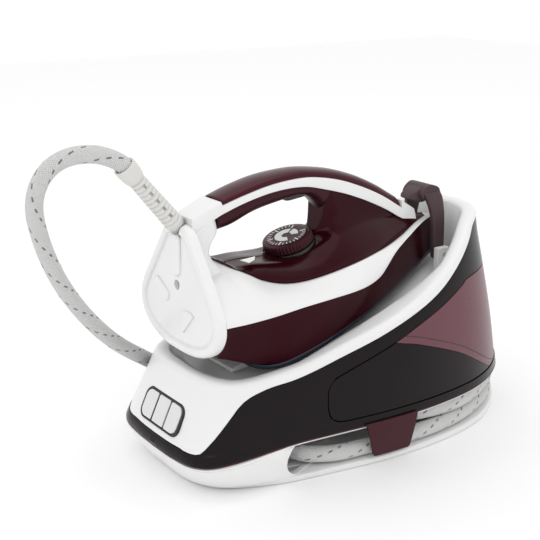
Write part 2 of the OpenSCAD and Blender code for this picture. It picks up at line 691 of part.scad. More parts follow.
module handle_strip() color([0.95, 0.95, 0.95])
  on_sole()
    difference() {
      loft([for (q = concat([[-130, 1.5], [-118, 1.5], [-107, 1.5], [-91.2, 1.5], [-90.6, 5.2]],
        [for (u = hu) [u + 0.1, smooth(u, cap_d) + 0.1]], [[90.4, 9.6], [91, 1.5], [99, 1.5], [106, 2]]))
        strip_sec(q[0], q[1])]);
      // room for the grip and the window pillar
      loft([for (u = [-97.6, -84, -68, -52, -36, -20, -6, 6, 20, 34, 48, 60, 72, 84, 95,
        109]) let (z = smooth(u, top_l) - (u < 5 ? smooth(u, [[-97, 11.5], [-46, 12.5], [-14, 14.5], [6,
        15.5]]) : smooth(u, [[6, 15.2], [48, 16], [72, 16], [84, 14.5], [95, 12], [108, 5.5]])),
        w = smooth(u, [[-97, 13.2], [-60, 14.8], [0, 14], [50, 12.5], [100, 9]]))
        [[u, -w, z - 30], [u, -w, z], [u, w, z], [u, w, z - 30]]]);
      // pocket over the trigger
      translate([-27.2, -5.8, 100])
        cube([22.4, 11.6, 23.5]);
      heel_cut();
    }
gu = [-97.2, -84, -68, -52, -36, -20, -10, -2];
module handle_grip() color([0.2, 0.06, 0.09])
  on_sole()
    difference() {
      loft([for (u = gu) let (t = smooth(u, top_l) - smooth(u, [[-97, 11.8], [-46, 12.8], [-14, 14.8],
        [6, 15.8]]), b = smooth(u, [[-97, 112.5], [-84, 111.5], [-61, 114], [-35, 111.5], [-15, 106.5],
        [-2, 101]]), w = smooth(u, [[-97, 13], [-60, 14.5], [0, 13]]))
        concat([[u, -w + 0.2, t], [u, w - 0.2, t]], [for (i = [0:8]) let (a = 180 * i / 8) [u,
          w * cos(a), t - 4 - max(t - 4 - b, 1) * sin(a)]])]);
      // pocket for the trigger
      translate([-27.2, -5.8, 90])
        cube([22.4, 11.6, 40]);
      // clear of the front pillar
      translate([-5.4, -30, 60])
        cube([20, 60, 80]);
    }
module heel_cover() color([0.96, 0.96, 0.96])
  difference() {
    translate([0, 0, 0])
      loft([for (q = [[-157, 4], [-156.4, 2.2], [-155, 0.8], [-153, 0], [-149, 0]])
        [for (i = [0:31]) let (a = 360 * i / 32, z = 158 + 54 * cos(a) - 2, w = smooth(z, [[102, 0],
          [104, 24], [109, 41], [117, 54], [128, 61], [138, 62], [152, 57], [166, 48], [180, 38], [194,
          28], [204, 21], [210, 12], [212, 0]]))
          [q[0], sin(a) < 0 ? -max(w - q[1], 0.2) : max(w - q[1], 0.2),
            158 + (z - 158) * (1 - q[1] / 54)]]]);
    // screw recess
    translate([-160, 0, 160])
      rotate([0, 90, 0])
        cylinder(d = 7, h = 10);
    // hose gland seat
    translate([-152, 0, 205])
      rotate([0, -40, 0])
        cylinder(d = 14.6, h = 30);
  }
module heel_screw() color([0.5, 0.5, 0.5])
  translate([-152, 0, 160])
    rotate([0, 90, 0])
      union() {
        difference() {
          cylinder(d = 6.6, h = 2);
          translate([-0.6, -4, -0.5])
            cube([1.2, 8, 1.2]);
        }
      }
module dial_place() {
  translate([-29, 0, 66.4])
    rotate([0, -4.6, 0])
      children();
}
module dial_axis() {
  on_sole()
    dial_place()
      children();
}
module dial_collar() color([0.07, 0.04, 0.05])
  dial_axis()
    translate([0, 0, 0.2])
      difference() {
        cylinder(d = dial_d + 0.4, h = 3);
        translate([0, 0, -1])
          cylinder(d = 9, h = 8);
      }
module dial() color([0.2, 0.07, 0.1])
  dial_axis()
    translate([0, 0, 4])
      difference() {
        union() {
          cylinder(d = dial_d - 1, h = 7);
          translate([0, 0, 7])
            cylinder(d = dial_d - 9, h = 1.4);
        }
        for (k = [0:29])
          rotate([0, 0, k * 12])
            translate([dial_d / 2 + 0.2, 0, -1])
              cylinder(d = 2.6, h = 9, $fn = 13);
        translate([0, 0, -1])
          cylinder(d = 6, h = 5);
      }
module dial_shaft() color([0.75, 0.75, 0.75])
  dial_axis()
    translate([0, 0, -20])
      cylinder(d = 6, h = 27.9);
module iron_thermostat() color([0.8, 0.78, 0.7])
  on_sole()
    translate([-29, 0, 20])
      union() {
        translate([-12, -9, 0])
          cube([24, 18, 14]);
        cylinder(d = 8, h = 24);
      }
module pilot_lens() color([0.98, 0.93, 0.85])
  on_sole()
    translate([-84, -24, 83])
      rotate([0, 12, 18])
        cube([10, 4.5, 1.6], center = true);
module trigger() color([0.85, 0.8, 0.78])
  on_sole()
    translate([-26, -5, 103])
      union() {
        cube([20, 10, 14]);
        translate([2, 1, -2])
          cube([16, 8, 2]);
      }
module micro_switch() color([0.12, 0.12, 0.14])
  on_sole()
    translate([-26, -4, 120.8])
      cube([8, 8, 2.2]);
module iron_chamber_valve() color([0.76, 0.6, 0.3])
  on_sole()
    translate([-66, 0, 14])
      union() {
        cylinder(d = 16, h = 18);
        translate([0, 0, 18])
          cylinder(d = 8, h = 12);
      }
module strain_relief() color([0.86, 0.85, 0.82])
  difference() {
    translate([-152, 0, 205])
      rotate([0, -40, 0])
        difference() {
          union() {
            cylinder(d = 14, h = 8);
            translate([0, 0, 8])
              cylinder(d1 = 15, d2 = 13, h = 50);
            for (k = [0:8])
              translate([0, 0, 14 + k * 5])
                cylinder(d = 15.6, h = 2.4);
            translate([0, 0, 58])
              cylinder(d1 = 15, d2 = 18.4, h = 10);
            translate([0, 0, 68])
              cylinder(d = 18.4, h = 6);
          }
          translate([0, 0, 60])
            cylinder(d = hose_d + 1.2, h = 30);
          translate([0, 0, -1])
            cylinder(d = 8, h = 62);
        }
    // flat back against the handle
    translate([-148.8, -20, 180])
      cube([20, 40, 60]);
  }

// ---------- steam hose ----------
zl = 13.6;
zu = 27.8;
route = [[-191.85, 0, 252.49], [-201.2, 0, 263.6], [-218.5, 3, 271.6], [-237, 8, 272], [-251, 14, 265],
  [-260, 20, 251], [-262, 26, 232], [-256, 33, 208], [-244, 41, 179],
  [-227, 50, 150], [-204, 59, 120], [-176, 70, 92], [-142, 84, 66], [-108, 96, 42], [-76, 99, 24], [-46,
    92, 15], [-18, 84, zl], [10, 84.5, zl], [50, 84.5, zl], [90, 78, zl],
  [124, 65, zl], [152.6, 46.9, zl], [169.4, 24.2, zl], [176, 0, zl], [169.4, -24.2, zl], [152.6, -46.9,
    zl], [124, -65, zl], [90, -78, zl], [50, -84.5, zl], [10, -84, zl],
  [-24, -81.5, zl], [-54, -78, 14.2], [-78, -66, 15.8], [-84, -51, 18], [-70, -37, 21], [-46, -35, 24],
    [-20, -46, 26.6], [6, -64, zu], [34, -77, zu],
  [62, -81, zu], [90, -78.5, zu],
  [124, -65.5, zu], [152.6, -46.9, zu], [169.6, -24.2, zu], [176.2, 0, zu], [169.6, 24.2, zu], [152.8,
    46, zu], [128, 56, 26], [104, 57, 22], [86, 54, 20], [70, 54, 20]];
function cr(a, b, c, d,
  t) = 0.5 * ((2 * b) + (c - a) * t + (2 * a - 5 * b + 4 * c - d) * t * t + (3 * b - a - 3 * c + d) * t * t * t);
function route_at(i, t) = let (n = len(route) - 1) cr(route[max(i - 1, 0)], route[i], route[min(i + 1,
  n)], route[min(i + 2, n)], t);
path = [for (i = [0:len(route) - 2]) each (i < 14 || (i > 29 && i < 37) ? [route_at(i, 0), route_at(i,
  0.5)] : [route_at(i, 0)]), route[len(route) - 1]];
function unit(v) = v / norm(v);
function tang(i) = unit(path[min(i + 1, len(path) - 1)] - path[max(i - 1, 0)]);
function side_v(t) = unit(cross(t, abs(t[2]) > 0.8 ? [0, 1, 0] : [0, 0, 1]));
function frames(i, f) = i >= len(path) ? [] : let (t = tang(i), g = unit(f - t * (f * t))) concat([g],
  frames(i + 1, g));
module steam_hose() color([0.8, 0.8, 0.79]) {
  fr = frames(0, side_v(tang(0)));
  loft([for (i = [0:len(path) - 1]) let (t = tang(i), g = fr[i], h = cross(t, g))
    [for (k = [0:hose_sides - 1]) path[i] + hose_d / 2 * (g * cos(k * 360 / hose_sides) + h * sin(k * 360 / hose_sides))]]);
}

base_tray();
side_shell();
upper_casing();
base_chassis();
cord_clip();
tray_feet();
base_screws();
rest_block();
panel_bezel();
key_left();
key_middle();
key_right();
control_board();
boiler();
boiler_heater();
boiler_thermostat();
safety_valve();
boiler_strap();
pump();
pump_mount();
steam_valve();
steam_tube();
feed_tube();
hose_outlet();
mains_gland();
tank_socket();
lock_arch();
arch_pin();
tank_shell();
tank_cap();
tank_valve();
tank_seal();
soleplate();
heating_element();
steam_cover();
sole_skirt();
iron_body();
window_shell();
handle_cap();
handle_strip();
handle_grip();
heel_cover();
heel_screw();
dial_collar();
dial();
dial_shaft();
iron_thermostat();
pilot_lens();
trigger();
micro_switch();
iron_chamber_valve();
strain_relief();
steam_hose();
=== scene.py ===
import bpy
import bmesh
import json
import math
from mathutils import Matrix, Vector


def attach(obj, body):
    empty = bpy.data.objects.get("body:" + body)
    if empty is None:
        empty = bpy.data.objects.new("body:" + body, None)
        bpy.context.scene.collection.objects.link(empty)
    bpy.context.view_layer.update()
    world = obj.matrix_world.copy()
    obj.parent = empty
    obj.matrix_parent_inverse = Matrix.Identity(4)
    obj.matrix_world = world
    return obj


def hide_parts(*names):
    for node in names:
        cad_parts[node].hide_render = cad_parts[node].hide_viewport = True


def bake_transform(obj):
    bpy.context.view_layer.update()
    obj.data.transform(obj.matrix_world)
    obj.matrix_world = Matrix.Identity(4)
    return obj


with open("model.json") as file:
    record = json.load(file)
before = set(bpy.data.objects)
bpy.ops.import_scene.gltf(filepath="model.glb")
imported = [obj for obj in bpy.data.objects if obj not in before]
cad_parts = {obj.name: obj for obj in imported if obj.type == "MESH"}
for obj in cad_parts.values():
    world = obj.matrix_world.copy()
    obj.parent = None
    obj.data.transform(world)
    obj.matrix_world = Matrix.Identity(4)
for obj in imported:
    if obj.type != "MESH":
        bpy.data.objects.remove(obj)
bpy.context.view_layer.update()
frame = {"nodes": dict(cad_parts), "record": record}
nodes = frame["nodes"]
MM = 0.001


# ------------------------------------------------------------------ camera
def add_camera():
    """Telephoto view from the key panel's near corner, slightly from above."""
    a, e = math.radians(-35), math.radians(17)
    back = Vector((math.sin(a) * math.cos(e), -math.cos(a) * math.cos(e), math.sin(e)))
    data = bpy.data.cameras.new("camera")
    data.lens, data.sensor_width = 72, 36
    data.clip_start, data.clip_end = 0.05, 20
    cam = bpy.data.objects.new("camera", data)
    cam.location = (-0.5676, -0.7172, 0.4241)
    cam.rotation_mode = "QUATERNION"
    cam.rotation_quaternion = back.to_track_quat("Z", "Y")
    bpy.context.scene.collection.objects.link(cam)
    bpy.context.scene.camera = cam


# ------------------------------------------------------------------ curves
def smooth(k, t):
    """Value at k of a smooth line through the (key, value) pairs t."""
    if k <= t[0][0]:
        return t[0][1]
    if k >= t[-1][0]:
        return t[-1][1]
    n = len(t)
    i = next(j for j in range(n - 1) if k < t[j + 1][0])

    def slope(j):
        lo, hi = max(j - 1, 0), min(j + 1, n - 1)
        return (t[hi][1] - t[lo][1]) / (t[hi][0] - t[lo][0])

    h = t[i + 1][0] - t[i][0]
    s = (k - t[i][0]) / h
    a, b = s * s, s * s * s
    return ((2 * b - 3 * a + 1) * t[i][1] + (b - 2 * a + s) * h * slope(i)
            + (3 * a - 2 * b) * t[i + 1][1] + (b - a) * h * slope(i + 1))


# plan outline of the station, front to rear: x and half width at heights 0, 30, 95 and 180
KEYS = (0, 15, 30, 45, 60, 75, 90, 110, 130, 150, 165, 180)
PLAN_X = (
    (-167, -166, -158, -140, -105, -65, -10, 50, 104, 147, 176, 186),
    (-184, -183, -178, -160, -115, -70, -10, 50, 105, 148, 178, 188),
    (-157, -156, -150, -136, -104, -64, -12, 46, 99, 139, 166, 174),
    (-122, -121, -116, -104, -80, -44, 0, 46, 92, 127, 147, 153))
PLAN_Y = (
    (0, 24, 45, 61, 76, 84, 92, 93, 84, 62, 33, 0),
    (0, 28, 56, 74, 82, 88, 94, 94, 85, 64, 34, 0),
    (0, 24, 45, 61, 69, 79, 88, 89, 80, 60, 32, 0),
    (0, 19, 35, 48, 54, 62, 69, 71, 64, 48, 26, 0))
SPLIT = [(-186, 37), (-174, 37.5), (-166, 46), (-152, 62), (-138, 76), (-119, 83), (-90, 88), (-46, 101),
         (-8, 112), (34, 126), (60, 137), (85, 152), (107, 168), (118, 178), (130, 183.5), (153, 186.5)]
RIM = [(-186, 91), (-150, 91), (-130, 91.5), (-113, 93), (-85, 98), (-41, 111), (4, 124), (41, 138),
       (73, 154), (98, 170), (114, 181), (130, 188), (153, 191)]
TRAY_TOP, GROOVE = 37, 18


def zmix(z, f):
    """Blend of the four heights' values f at height z."""
    if z <= 30:
        return smooth(z, [(0, f[0]), (14, f[0] + (f[1] - f[0]) * 0.62), (30, f[1])])
    return smooth(z, [(30, f[1]), (95, f[2]), (180, f[3])])


def plan(a, z):
    """Outline point at angle a from the front, height z."""
    a %= 360
    h = 360 - a if a > 180 else a
    fx = [smooth(h, list(zip(KEYS, row))) for row in PLAN_X]
    fy = [smooth(h, list(zip(KEYS, row))) for row in PLAN_Y]
    return zmix(z, fx), (1 if a > 180 else -1) * zmix(z, fy)


def sp(a, z, d=0.0):
    """Outline point moved inward by d."""
    x, y = plan(a, z)
    if d:
        (x0, y0), (x1, y1) = plan(a - 2, z), plan(a + 2, z)
        qx, qy = x1 - x0, y1 - y0
        q = math.hypot(qx, qy)
        x, y = x - qy / q * d, y + qx / q * d
    return (x, y, z)


def fix(a, table):
    """Height at angle a of a side view line, found on the outline itself."""
    z = smooth(plan(a, 90)[0], table)
    for _ in range(6):
        z = smooth(plan(a, z)[0], table)
    return z


def half(a):
    """Angle from the front, the same on both sides."""
    a %= 360
    return 360 - a if a > 180 else a


def zsplit(a):
    """Height of the parting line between the white casing and the dark shell."""
    return fix(a, SPLIT) if half(a) >= 22 else TRAY_TOP


def zrim(a):
    """Height of the white rim."""
    return fix(a, RIM)


def groove(a):
    """Depth of the cord bay, none at the front."""
    return smooth(half(a), [(0, 0), (62, 0), (76, GROOVE), (180, GROOVE)])


def lowz(a):
    """Top edge of the tray."""
    return smooth(half(a), [(0, 25), (30, 27), (50, 32), (70, TRAY_TOP), (180, TRAY_TOP)])


# ------------------------------------------------------------------ meshes
def new_object(name, verts, faces, mat, body, replaces=(), slot=None):
    """Mesh piece from millimetre points, riding its body."""
    mesh = bpy.data.meshes.new(name)
    mesh.from_pydata([tuple(c * MM for c in v) for v in verts], [], faces)
    mesh.validate()
    obj = bpy.data.objects.new(name, mesh)
    bpy.context.scene.collection.objects.link(obj)
    bm = bmesh.new()
    bm.from_mesh(mesh)
    bmesh.ops.recalc_face_normals(bm, faces=bm.faces)
    bm.to_mesh(mesh)
    bm.free()
    for p in mesh.polygons:
        p.use_smooth = True
    if mat:
        mesh.materials.append(mat)
    if body:
        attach(obj, body)
        if replaces:
            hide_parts(*replaces)
    return obj


def loft_data(rings):
    """Closed skin through rings of equal length."""
    n, m = len(rings[0]), len(rings)
    verts = [p for r in rings for p in r]
    faces = [(j * n + i, j * n + (i + 1) % n, (j + 1) * n + (i + 1) % n, (j + 1) * n + i)
             for j in range(m - 1) for i in range(n)]
    faces.append(tuple(reversed(range(n))))
    faces.append(tuple(range((m - 1) * n, m * n)))
    return verts, faces


def band_data(rings):
    """Closed belt: the last ring joins the first."""
    n, m = len(rings[0]), len(rings)
    verts = [p for r in rings for p in r]
    faces = [(j * n + i, j * n + (i + 1) % n, ((j + 1) % m) * n + (i + 1) % n, ((j + 1) % m) * n + i)
             for j in range(m) for i in range(n)]
    return verts, faces


def prism_data(poly, y0, y1):
    """Side view polygon (x, z) pushed through y0..y1."""
    n = len(poly)
    verts = [(x, y0, z) for x, z in poly] + [(x, y1, z) for x, z in poly]
    faces = [tuple(range(n)), tuple(reversed(range(n, 2 * n)))]
    faces += [(i, i + n, (i + 1) % n + n, (i + 1) % n) for i in range(n)]
    return verts, faces


def cut(obj, tools, op="DIFFERENCE"):
    """Boolean with helper solids that are then removed."""
    for t in tools:
        m = obj.modifiers.new("cut", "BOOLEAN")
        m.operation, m.solver, m.object = op, "EXACT", t
    bake(obj)
    for t in tools:
        bpy.data.objects.remove(t)


def bake(obj):
    """Turns the modifiers into plain mesh."""
    deps = bpy.context.evaluated_depsgraph_get()
    mesh = bpy.data.meshes.new_from_object(obj.evaluated_get(deps))
    obj.modifiers.clear()
    old = obj.data
    obj.data = mesh
    bpy.data.meshes.remove(old)


def finish_edges(obj, width=0.6, angle=38, segments=2):
    """Rounds the sharp edges and keeps broad faces even."""
    if width:
        b = obj.modifiers.new("bevel", "BEVEL")
        b.width, b.segments = width * MM, segments
        b.limit_method, b.angle_limit = "ANGLE", math.radians(angle)
        b.harden_normals = False
        bake(obj)
    for p in obj.data.polygons:
        p.use_smooth = True
    w = obj.modifiers.new("even", "WEIGHTED_NORMAL")
    w.keep_sharp = True
    bake(obj)
    return obj


def helper(data):
    """Solid for a boolean, removed once used."""
    return new_object("helper", data[0], data[1], None, None)


def plan_prism(outline, z0, z1):
    """Plan outline (x, y) pushed through z0..z1."""
    n = len(outline)
    verts = [(x, y, z) for z in (z0, z1) for x, y in outline]
    faces = [tuple(range(n)), tuple(reversed(range(n, 2 * n)))]
    faces += [(k, (k + 1) % n, (k + 1) % n + n, k + n) for k in range(n)]
    return verts, faces


def box_data(lo, hi):
    return prism_data([(lo[0], lo[2]), (hi[0], lo[2]), (hi[0], hi[2]), (lo[0], hi[2])], lo[1], hi[1])


# ------------------------------------------------------------------ materials
GRAIN_SCALE, PATCH_SCALE = 900.0, 14.0
WINE = (1, 0.42, 0.5)


def shader(name, base, rough=0.3, metallic=0.0, coat=0.0, grain=0.04, bump=0.02, tint=0.06, spec=0.5,
           glow=(1, 1, 1)):
    """Moulded or metal finish with fine grain, patchy roughness and a slight tone drift."""
    mat = bpy.data.materials.new(name)
    mat.use_nodes = True
    nt = mat.node_tree
    bsdf = nt.nodes["Principled BSDF"]
    bsdf.inputs["Metallic"].default_value = metallic
    bsdf.inputs["IOR"].default_value = 1.5
    bsdf.inputs["Specular Tint"].default_value = (*glow, 1)
    bsdf.inputs["Specular IOR Level"].default_value = spec
    bsdf.inputs["Coat Weight"].default_value = coat
    bsdf.inputs["Coat Roughness"].default_value = 0.05
    co = nt.nodes.new("ShaderNodeTexCoord")
    big = nt.nodes.new("ShaderNodeTexNoise")
    big.inputs["Scale"].default_value = PATCH_SCALE
    big.inputs["Detail"].default_value = 3.0
    fine = nt.nodes.new("ShaderNodeTexNoise")
    fine.inputs["Scale"].default_value = GRAIN_SCALE
    fine.inputs["Detail"].default_value = 2.0
    for t in (big, fine):
        nt.links.new(co.outputs["Object"], t.inputs["Vector"])
    ramp = nt.nodes.new("ShaderNodeMapRange")
    ramp.inputs["From Min"].default_value = 0.3
    ramp.inputs["From Max"].default_value = 0.7
    ramp.inputs["To Min"].default_value = max(rough - grain, 0.02)
    ramp.inputs["To Max"].default_value = min(rough + grain, 1.0)
    mixf = nt.nodes.new("ShaderNodeMix")
    mixf.data_type = "FLOAT"
    mixf.inputs[0].default_value = 0.5
    nt.links.new(big.outputs["Fac"], mixf.inputs[2])
    nt.links.new(fine.outputs["Fac"], mixf.inputs[3])
    nt.links.new(mixf.outputs[0], ramp.inputs["Value"])
    nt.links.new(ramp.outputs["Result"], bsdf.inputs["Roughness"])
    tone = nt.nodes.new("ShaderNodeMix")
    tone.data_type = "RGBA"
    tone.inputs[6].default_value = (*[min(c * (1 + tint), 1) for c in base], 1)
    tone.inputs[7].default_value = (*[c * (1 - tint) for c in base], 1)
    nt.links.new(mixf.outputs[0], tone.inputs[0])
    nt.links.new(tone.outputs[2], bsdf.inputs["Base Color"])
    b = nt.nodes.new("ShaderNodeBump")
    b.inputs["Strength"].default_value = bump
    b.inputs["Distance"].default_value = 0.0005
    nt.links.new(fine.outputs["Fac"], b.inputs["Height"])
    nt.links.new(b.outputs["Normal"], bsdf.inputs["Normal"])
    return mat


def make_materials():
    """Every finish by its short name; CAD pieces find theirs by slot."""
    m = {}
    m["white"] = shader("white_gloss", (0.79, 0.79, 0.787), rough=0.32, coat=0.1, grain=0.05, bump=0.015,
                        tint=0.012)
    m["dark"] = shader("black_plum_gloss", (0.0075, 0.0045, 0.0052), rough=0.24, grain=0.04, bump=0.01,
                       tint=0.15, spec=0.16)
    m["skirt"] = shader("deep_maroon_gloss", (0.021, 0.0016, 0.0042), rough=0.22, grain=0.04, bump=0.01,
                        tint=0.12, spec=0.14, glow=WINE)
    m["maroon"] = shader("maroon_gloss", (0.0195, 0.0014, 0.0038), rough=0.15, coat=0.04, grain=0.03,
                         bump=0.008, tint=0.12, spec=0.16, glow=WINE)
    m["maroon_soft"] = shader("maroon_satin", (0.042, 0.015, 0.019), rough=0.36, grain=0.05, bump=0.02,
            tint=0.1, spec=0.25, glow=WINE)
    m["plum"] = shader("plum_tank", (0.135, 0.048, 0.064), rough=0.3, coat=0.05, grain=0.04, bump=0.01,
                       tint=0.06, spec=0.25)
    m["arch"] = shader("arch_satin", (0.062, 0.036, 0.041), rough=0.42, grain=0.06, bump=0.05, tint=0.08,
                       spec=0.25)
    m["grey"] = shader("grey_satin", (0.50, 0.50, 0.505), rough=0.4, grain=0.05, bump=0.04, tint=0.03)
    m["key"] = shader("key_satin", (0.70, 0.70, 0.705), rough=0.33, grain=0.05, bump=0.03, tint=0.03)
    m["metal"] = shader("plain_metal", (0.55, 0.55, 0.56), rough=0.34, metallic=1.0, grain=0.08, bump=0.05,
                        tint=0.05)
    m["sole"] = shader("sole_coating", (0.045, 0.055, 0.075), rough=0.25, metallic=0.6, grain=0.06,
                       bump=0.03, tint=0.1)
    m["brass"] = shader("brass_fitting", (0.62, 0.45, 0.2), rough=0.3, metallic=1.0, grain=0.08, bump=0.04,
                        tint=0.06)
    m["rubber"] = shader("black_rubber", (0.02, 0.02, 0.02), rough=0.7, grain=0.1, bump=0.12, tint=0.1)
    m["board"] = shader("circuit_board", (0.02, 0.16, 0.06), rough=0.4, grain=0.1, bump=0.1, tint=0.2)
    m["relief"] = shader("soft_offwhite", (0.66, 0.655, 0.63), rough=0.5, grain=0.06, bump=0.06, tint=0.02)
    m["black"] = shader("black_satin", (0.012, 0.012, 0.013), rough=0.35, grain=0.08, bump=0.04, tint=0.2)
    m["plum_gloss"] = shader("plum_gloss", (0.040, 0.0050, 0.0095), rough=0.24, coat=0.05, grain=0.03,
                             bump=0.004, tint=0.05, spec=0.25, glow=WINE)
    m["grip"] = shader("grip_satin", (0.026, 0.0070, 0.0100), rough=0.36, grain=0.06, bump=0.05, tint=0.1,
                       spec=0.3, glow=WINE)
    m["lens"] = shader("lamp_lens", (0.86, 0.83, 0.78), rough=0.18, coat=0.5, grain=0.04, bump=0.01,
                       tint=0.03)
    m["hose"] = hose_material()
    return m


def hose_material():
    """Light grey braid with dark flecks lying in slanted rows."""
    mat = bpy.data.materials.new("braided_textile")
    mat.use_nodes = True
    nt = mat.node_tree
    L = nt.links.new
    bsdf = nt.nodes["Principled BSDF"]
    bsdf.inputs["Roughness"].default_value = 0.85
    bsdf.inputs["Sheen Weight"].default_value = 0.3
    uv = nt.nodes.new("ShaderNodeUVMap")
    uv.uv_map = "braid"
    sep = nt.nodes.new("ShaderNodeSeparateXYZ")
    L(uv.outputs["UV"], sep.inputs[0])

    def math_node(op, a, b=None, c=None):
        n = nt.nodes.new("ShaderNodeMath")
        n.operation = op
        for i, v in enumerate((a, b, c)):
            if v is None:
                continue
            if isinstance(v, (int, float)):
                n.inputs[i].default_value = v
            else:
                L(v, n.inputs[i])
        return n.outputs[0]

    # u runs once round the hose, v counts millimetres along it
    u, v = sep.outputs[0], sep.outputs[1]
    turns = math_node("MULTIPLY", u, 20.0)
    steps = math_node("MULTIPLY", v, 0.45)
    d1 = math_node("ADD", turns, steps)
    d2 = math_node("SUBTRACT", turns, steps)
    s1 = math_node("SINE", math_node("MULTIPLY", d1, 2 * math.pi))
    s2 = math_node("SINE", math_node("MULTIPLY", d2, 2 * math.pi))
    weave = math_node("MAXIMUM", s1, s2)
    # flecks: three slanted rows, short dashes along the row
    row = math_node("FRACT", math_node("ADD", math_node("MULTIPLY", u, 3.0),
            math_node("MULTIPLY", v, 0.028)))
    on_row = math_node("LESS_THAN", math_node("ABSOLUTE", math_node("SUBTRACT", row, 0.5)), 0.055)
    dash = math_node("FRACT", math_node("MULTIPLY", v, 0.115))
    on_dash = math_node("LESS_THAN", dash, 0.42)
    fleck = math_node("MULTIPLY", on_row, on_dash)
    noise = nt.nodes.new("ShaderNodeTexNoise")
    noise.inputs["Scale"].default_value = 700.0
    tc = nt.nodes.new("ShaderNodeTexCoord")
    L(tc.outputs["Object"], noise.inputs["Vector"])
    base = nt.nodes.new("ShaderNodeMix")
    base.data_type = "RGBA"
    base.inputs[6].default_value = (0.42, 0.42, 0.415, 1)
    base.inputs[7].default_value = (0.70, 0.70, 0.695, 1)
    lift = math_node("MULTIPLY_ADD", weave, 0.4, math_node("MULTIPLY", noise.outputs["Fac"], 0.9))
    L(lift, base.inputs[0])
    mix = nt.nodes.new("ShaderNodeMix")
    mix.data_type = "RGBA"
    mix.inputs[7].default_value = (0.16, 0.155, 0.16, 1)
    L(fleck, mix.inputs[0])
    L(base.outputs[2], mix.inputs[6])
    L(mix.outputs[2], bsdf.inputs["Base Color"])
    bump = nt.nodes.new("ShaderNodeBump")
    bump.inputs["Strength"].default_value = 0.5
    bump.inputs["Distance"].default_value = 0.0006
    L(math_node("ADD", weave, noise.outputs["Fac"]), bump.inputs["Height"])
    L(bump.outputs["Normal"], bsdf.inputs["Normal"])
    return mat


# ------------------------------------------------------------------ hose
ZL, ZU = 13.6, 27.8      # centre heights of the lower and the upper turn
HOSE_R, HOSE_STEP, HOSE_SIDES = 6.8, 2.2, 40
ROUTE = [(-191.85, 0, 252.49), (-201.2, 0, 263.6), (-218.5, 3, 271.6), (-237, 8, 272), (-251, 14, 265),
         (-260, 20, 251), (-262, 26, 232), (-256, 33, 208), (-244, 41, 179), (-227, 50, 150),
         (-204, 59, 120), (-176, 70, 92), (-142, 84, 66), (-108, 96, 42), (-76, 99, 24), (-46, 92, 15),
         (-18, 84, ZL), (10, 84.5, ZL), (50, 84.5, ZL), (90, 78, ZL), (124, 65, ZL), (152.6, 46.9, ZL),
         (169.4, 24.2, ZL), (176, 0, ZL), (169.4, -24.2, ZL), (152.6, -46.9, ZL), (124, -65, ZL),
         (90, -78, ZL), (50, -84.5, ZL), (10, -84, ZL), (-24, -81.5, ZL), (-54, -78, 14.2),
         (-78, -66, 15.8), (-84, -51, 18), (-70, -37, 21), (-46, -35, 24), (-20, -46, 26.6), (6, -64, ZU),
         (34, -77, ZU), (62, -81, ZU), (90, -78.5, ZU), (124, -65.5, ZU), (152.6, -46.9, ZU),
         (169.6, -24.2, ZU), (176.2, 0, ZU), (169.6, 24.2, ZU), (152.8, 46, ZU), (128, 56, 26),
         (104, 57, 22), (86, 54, 20), (70, 54, 20)]


def hose_path(step=HOSE_STEP):
    """Evenly spaced points along one smooth curve through the route."""
    pts = [Vector(p) for p in ROUTE]
    n = len(pts) - 1
    dense = []
    for i in range(n):
        a, b, c, d = pts[max(i - 1, 0)], pts[i], pts[i + 1], pts[min(i + 2, n)]
        for k in range(16):
            t = k / 16
            dense.append(0.5 * ((2 * b) + (c - a) * t + (2 * a - 5 * b + 4 * c - d) * t * t
                                + (3 * b - a - 3 * c + d) * t ** 3))
    dense.append(pts[-1])
    out, gone = [dense[0]], 0.0
    for a, b in zip(dense, dense[1:]):
        seg = (b - a).length
        while gone + seg >= step:
            f = (step - gone) / seg
            a = a + (b - a) * f
            out.append(a.copy())
            seg = (b - a).length
            gone = 0.0
        gone += seg
    return out


def add_hose(mat):
    """Braided hose: heel, arc behind the iron, cord bay round the station."""
    path = hose_path()
    n = HOSE_SIDES
    rings = []
    t = (path[1] - path[0]).normalized()
    side = t.cross(Vector((0, 1, 0))).normalized()
    for i, p in enumerate(path):
        t = (path[min(i + 1, len(path) - 1)] - path[max(i - 1, 0)]).normalized()
        side = (side - t * side.dot(t)).normalized()
        up = t.cross(side)
        turn = [2 * math.pi * k / n for k in range(n)]
        rings.append([p + (side * math.cos(q) + up * math.sin(q)) * HOSE_R for q in turn])
    verts, faces = loft_data(rings)
    mesh = bpy.data.meshes.new("steam_hose_braid")
    mesh.from_pydata([tuple(c * MM for c in v) for v in verts], [], faces)
    layer = mesh.uv_layers.new(name="braid")
    for poly in mesh.polygons[:-2]:
        j, i = divmod(poly.index, n)
        for loop, (du, dv) in zip(poly.loop_indices, ((0, 0), (1, 0), (1, 1), (0, 1))):
            layer.data[loop].uv = ((i + du) / n, (j + dv) * HOSE_STEP)
    for poly in mesh.polygons:
        poly.use_smooth = True
    mesh.materials.append(mat)
    obj = bpy.data.objects.new("steam_hose_braid", mesh)
    bpy.context.scene.collection.objects.link(obj)
    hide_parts("steam_hose")
    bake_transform(obj)
    return obj


# ------------------------------------------------------------------ station
ANGS = [i * 2 for i in range(180)]
BAY_ROOF = TRAY_TOP - 2.6


# rules for rows(): each gives a height or an inset for the angle a
def flat(c):
    return lambda a: c


def low(c):
    """Height c above the tray's top edge."""
    return lambda a: lowz(a) + c


def lip(c, k=1):
    """Inset of c times k, no deeper than the cord bay."""
    return lambda a: min(groove(a), c) * k


def bay(c=0, k=1):
    """Inset to the cord bay's wall times k, and c further."""
    return lambda a: groove(a) * k + c


def rows(spec):
    """One outline ring per (height rule, inset rule) pair."""
    return [[sp(a, z(a), d(a)) for a in ANGS] for z, d in spec]


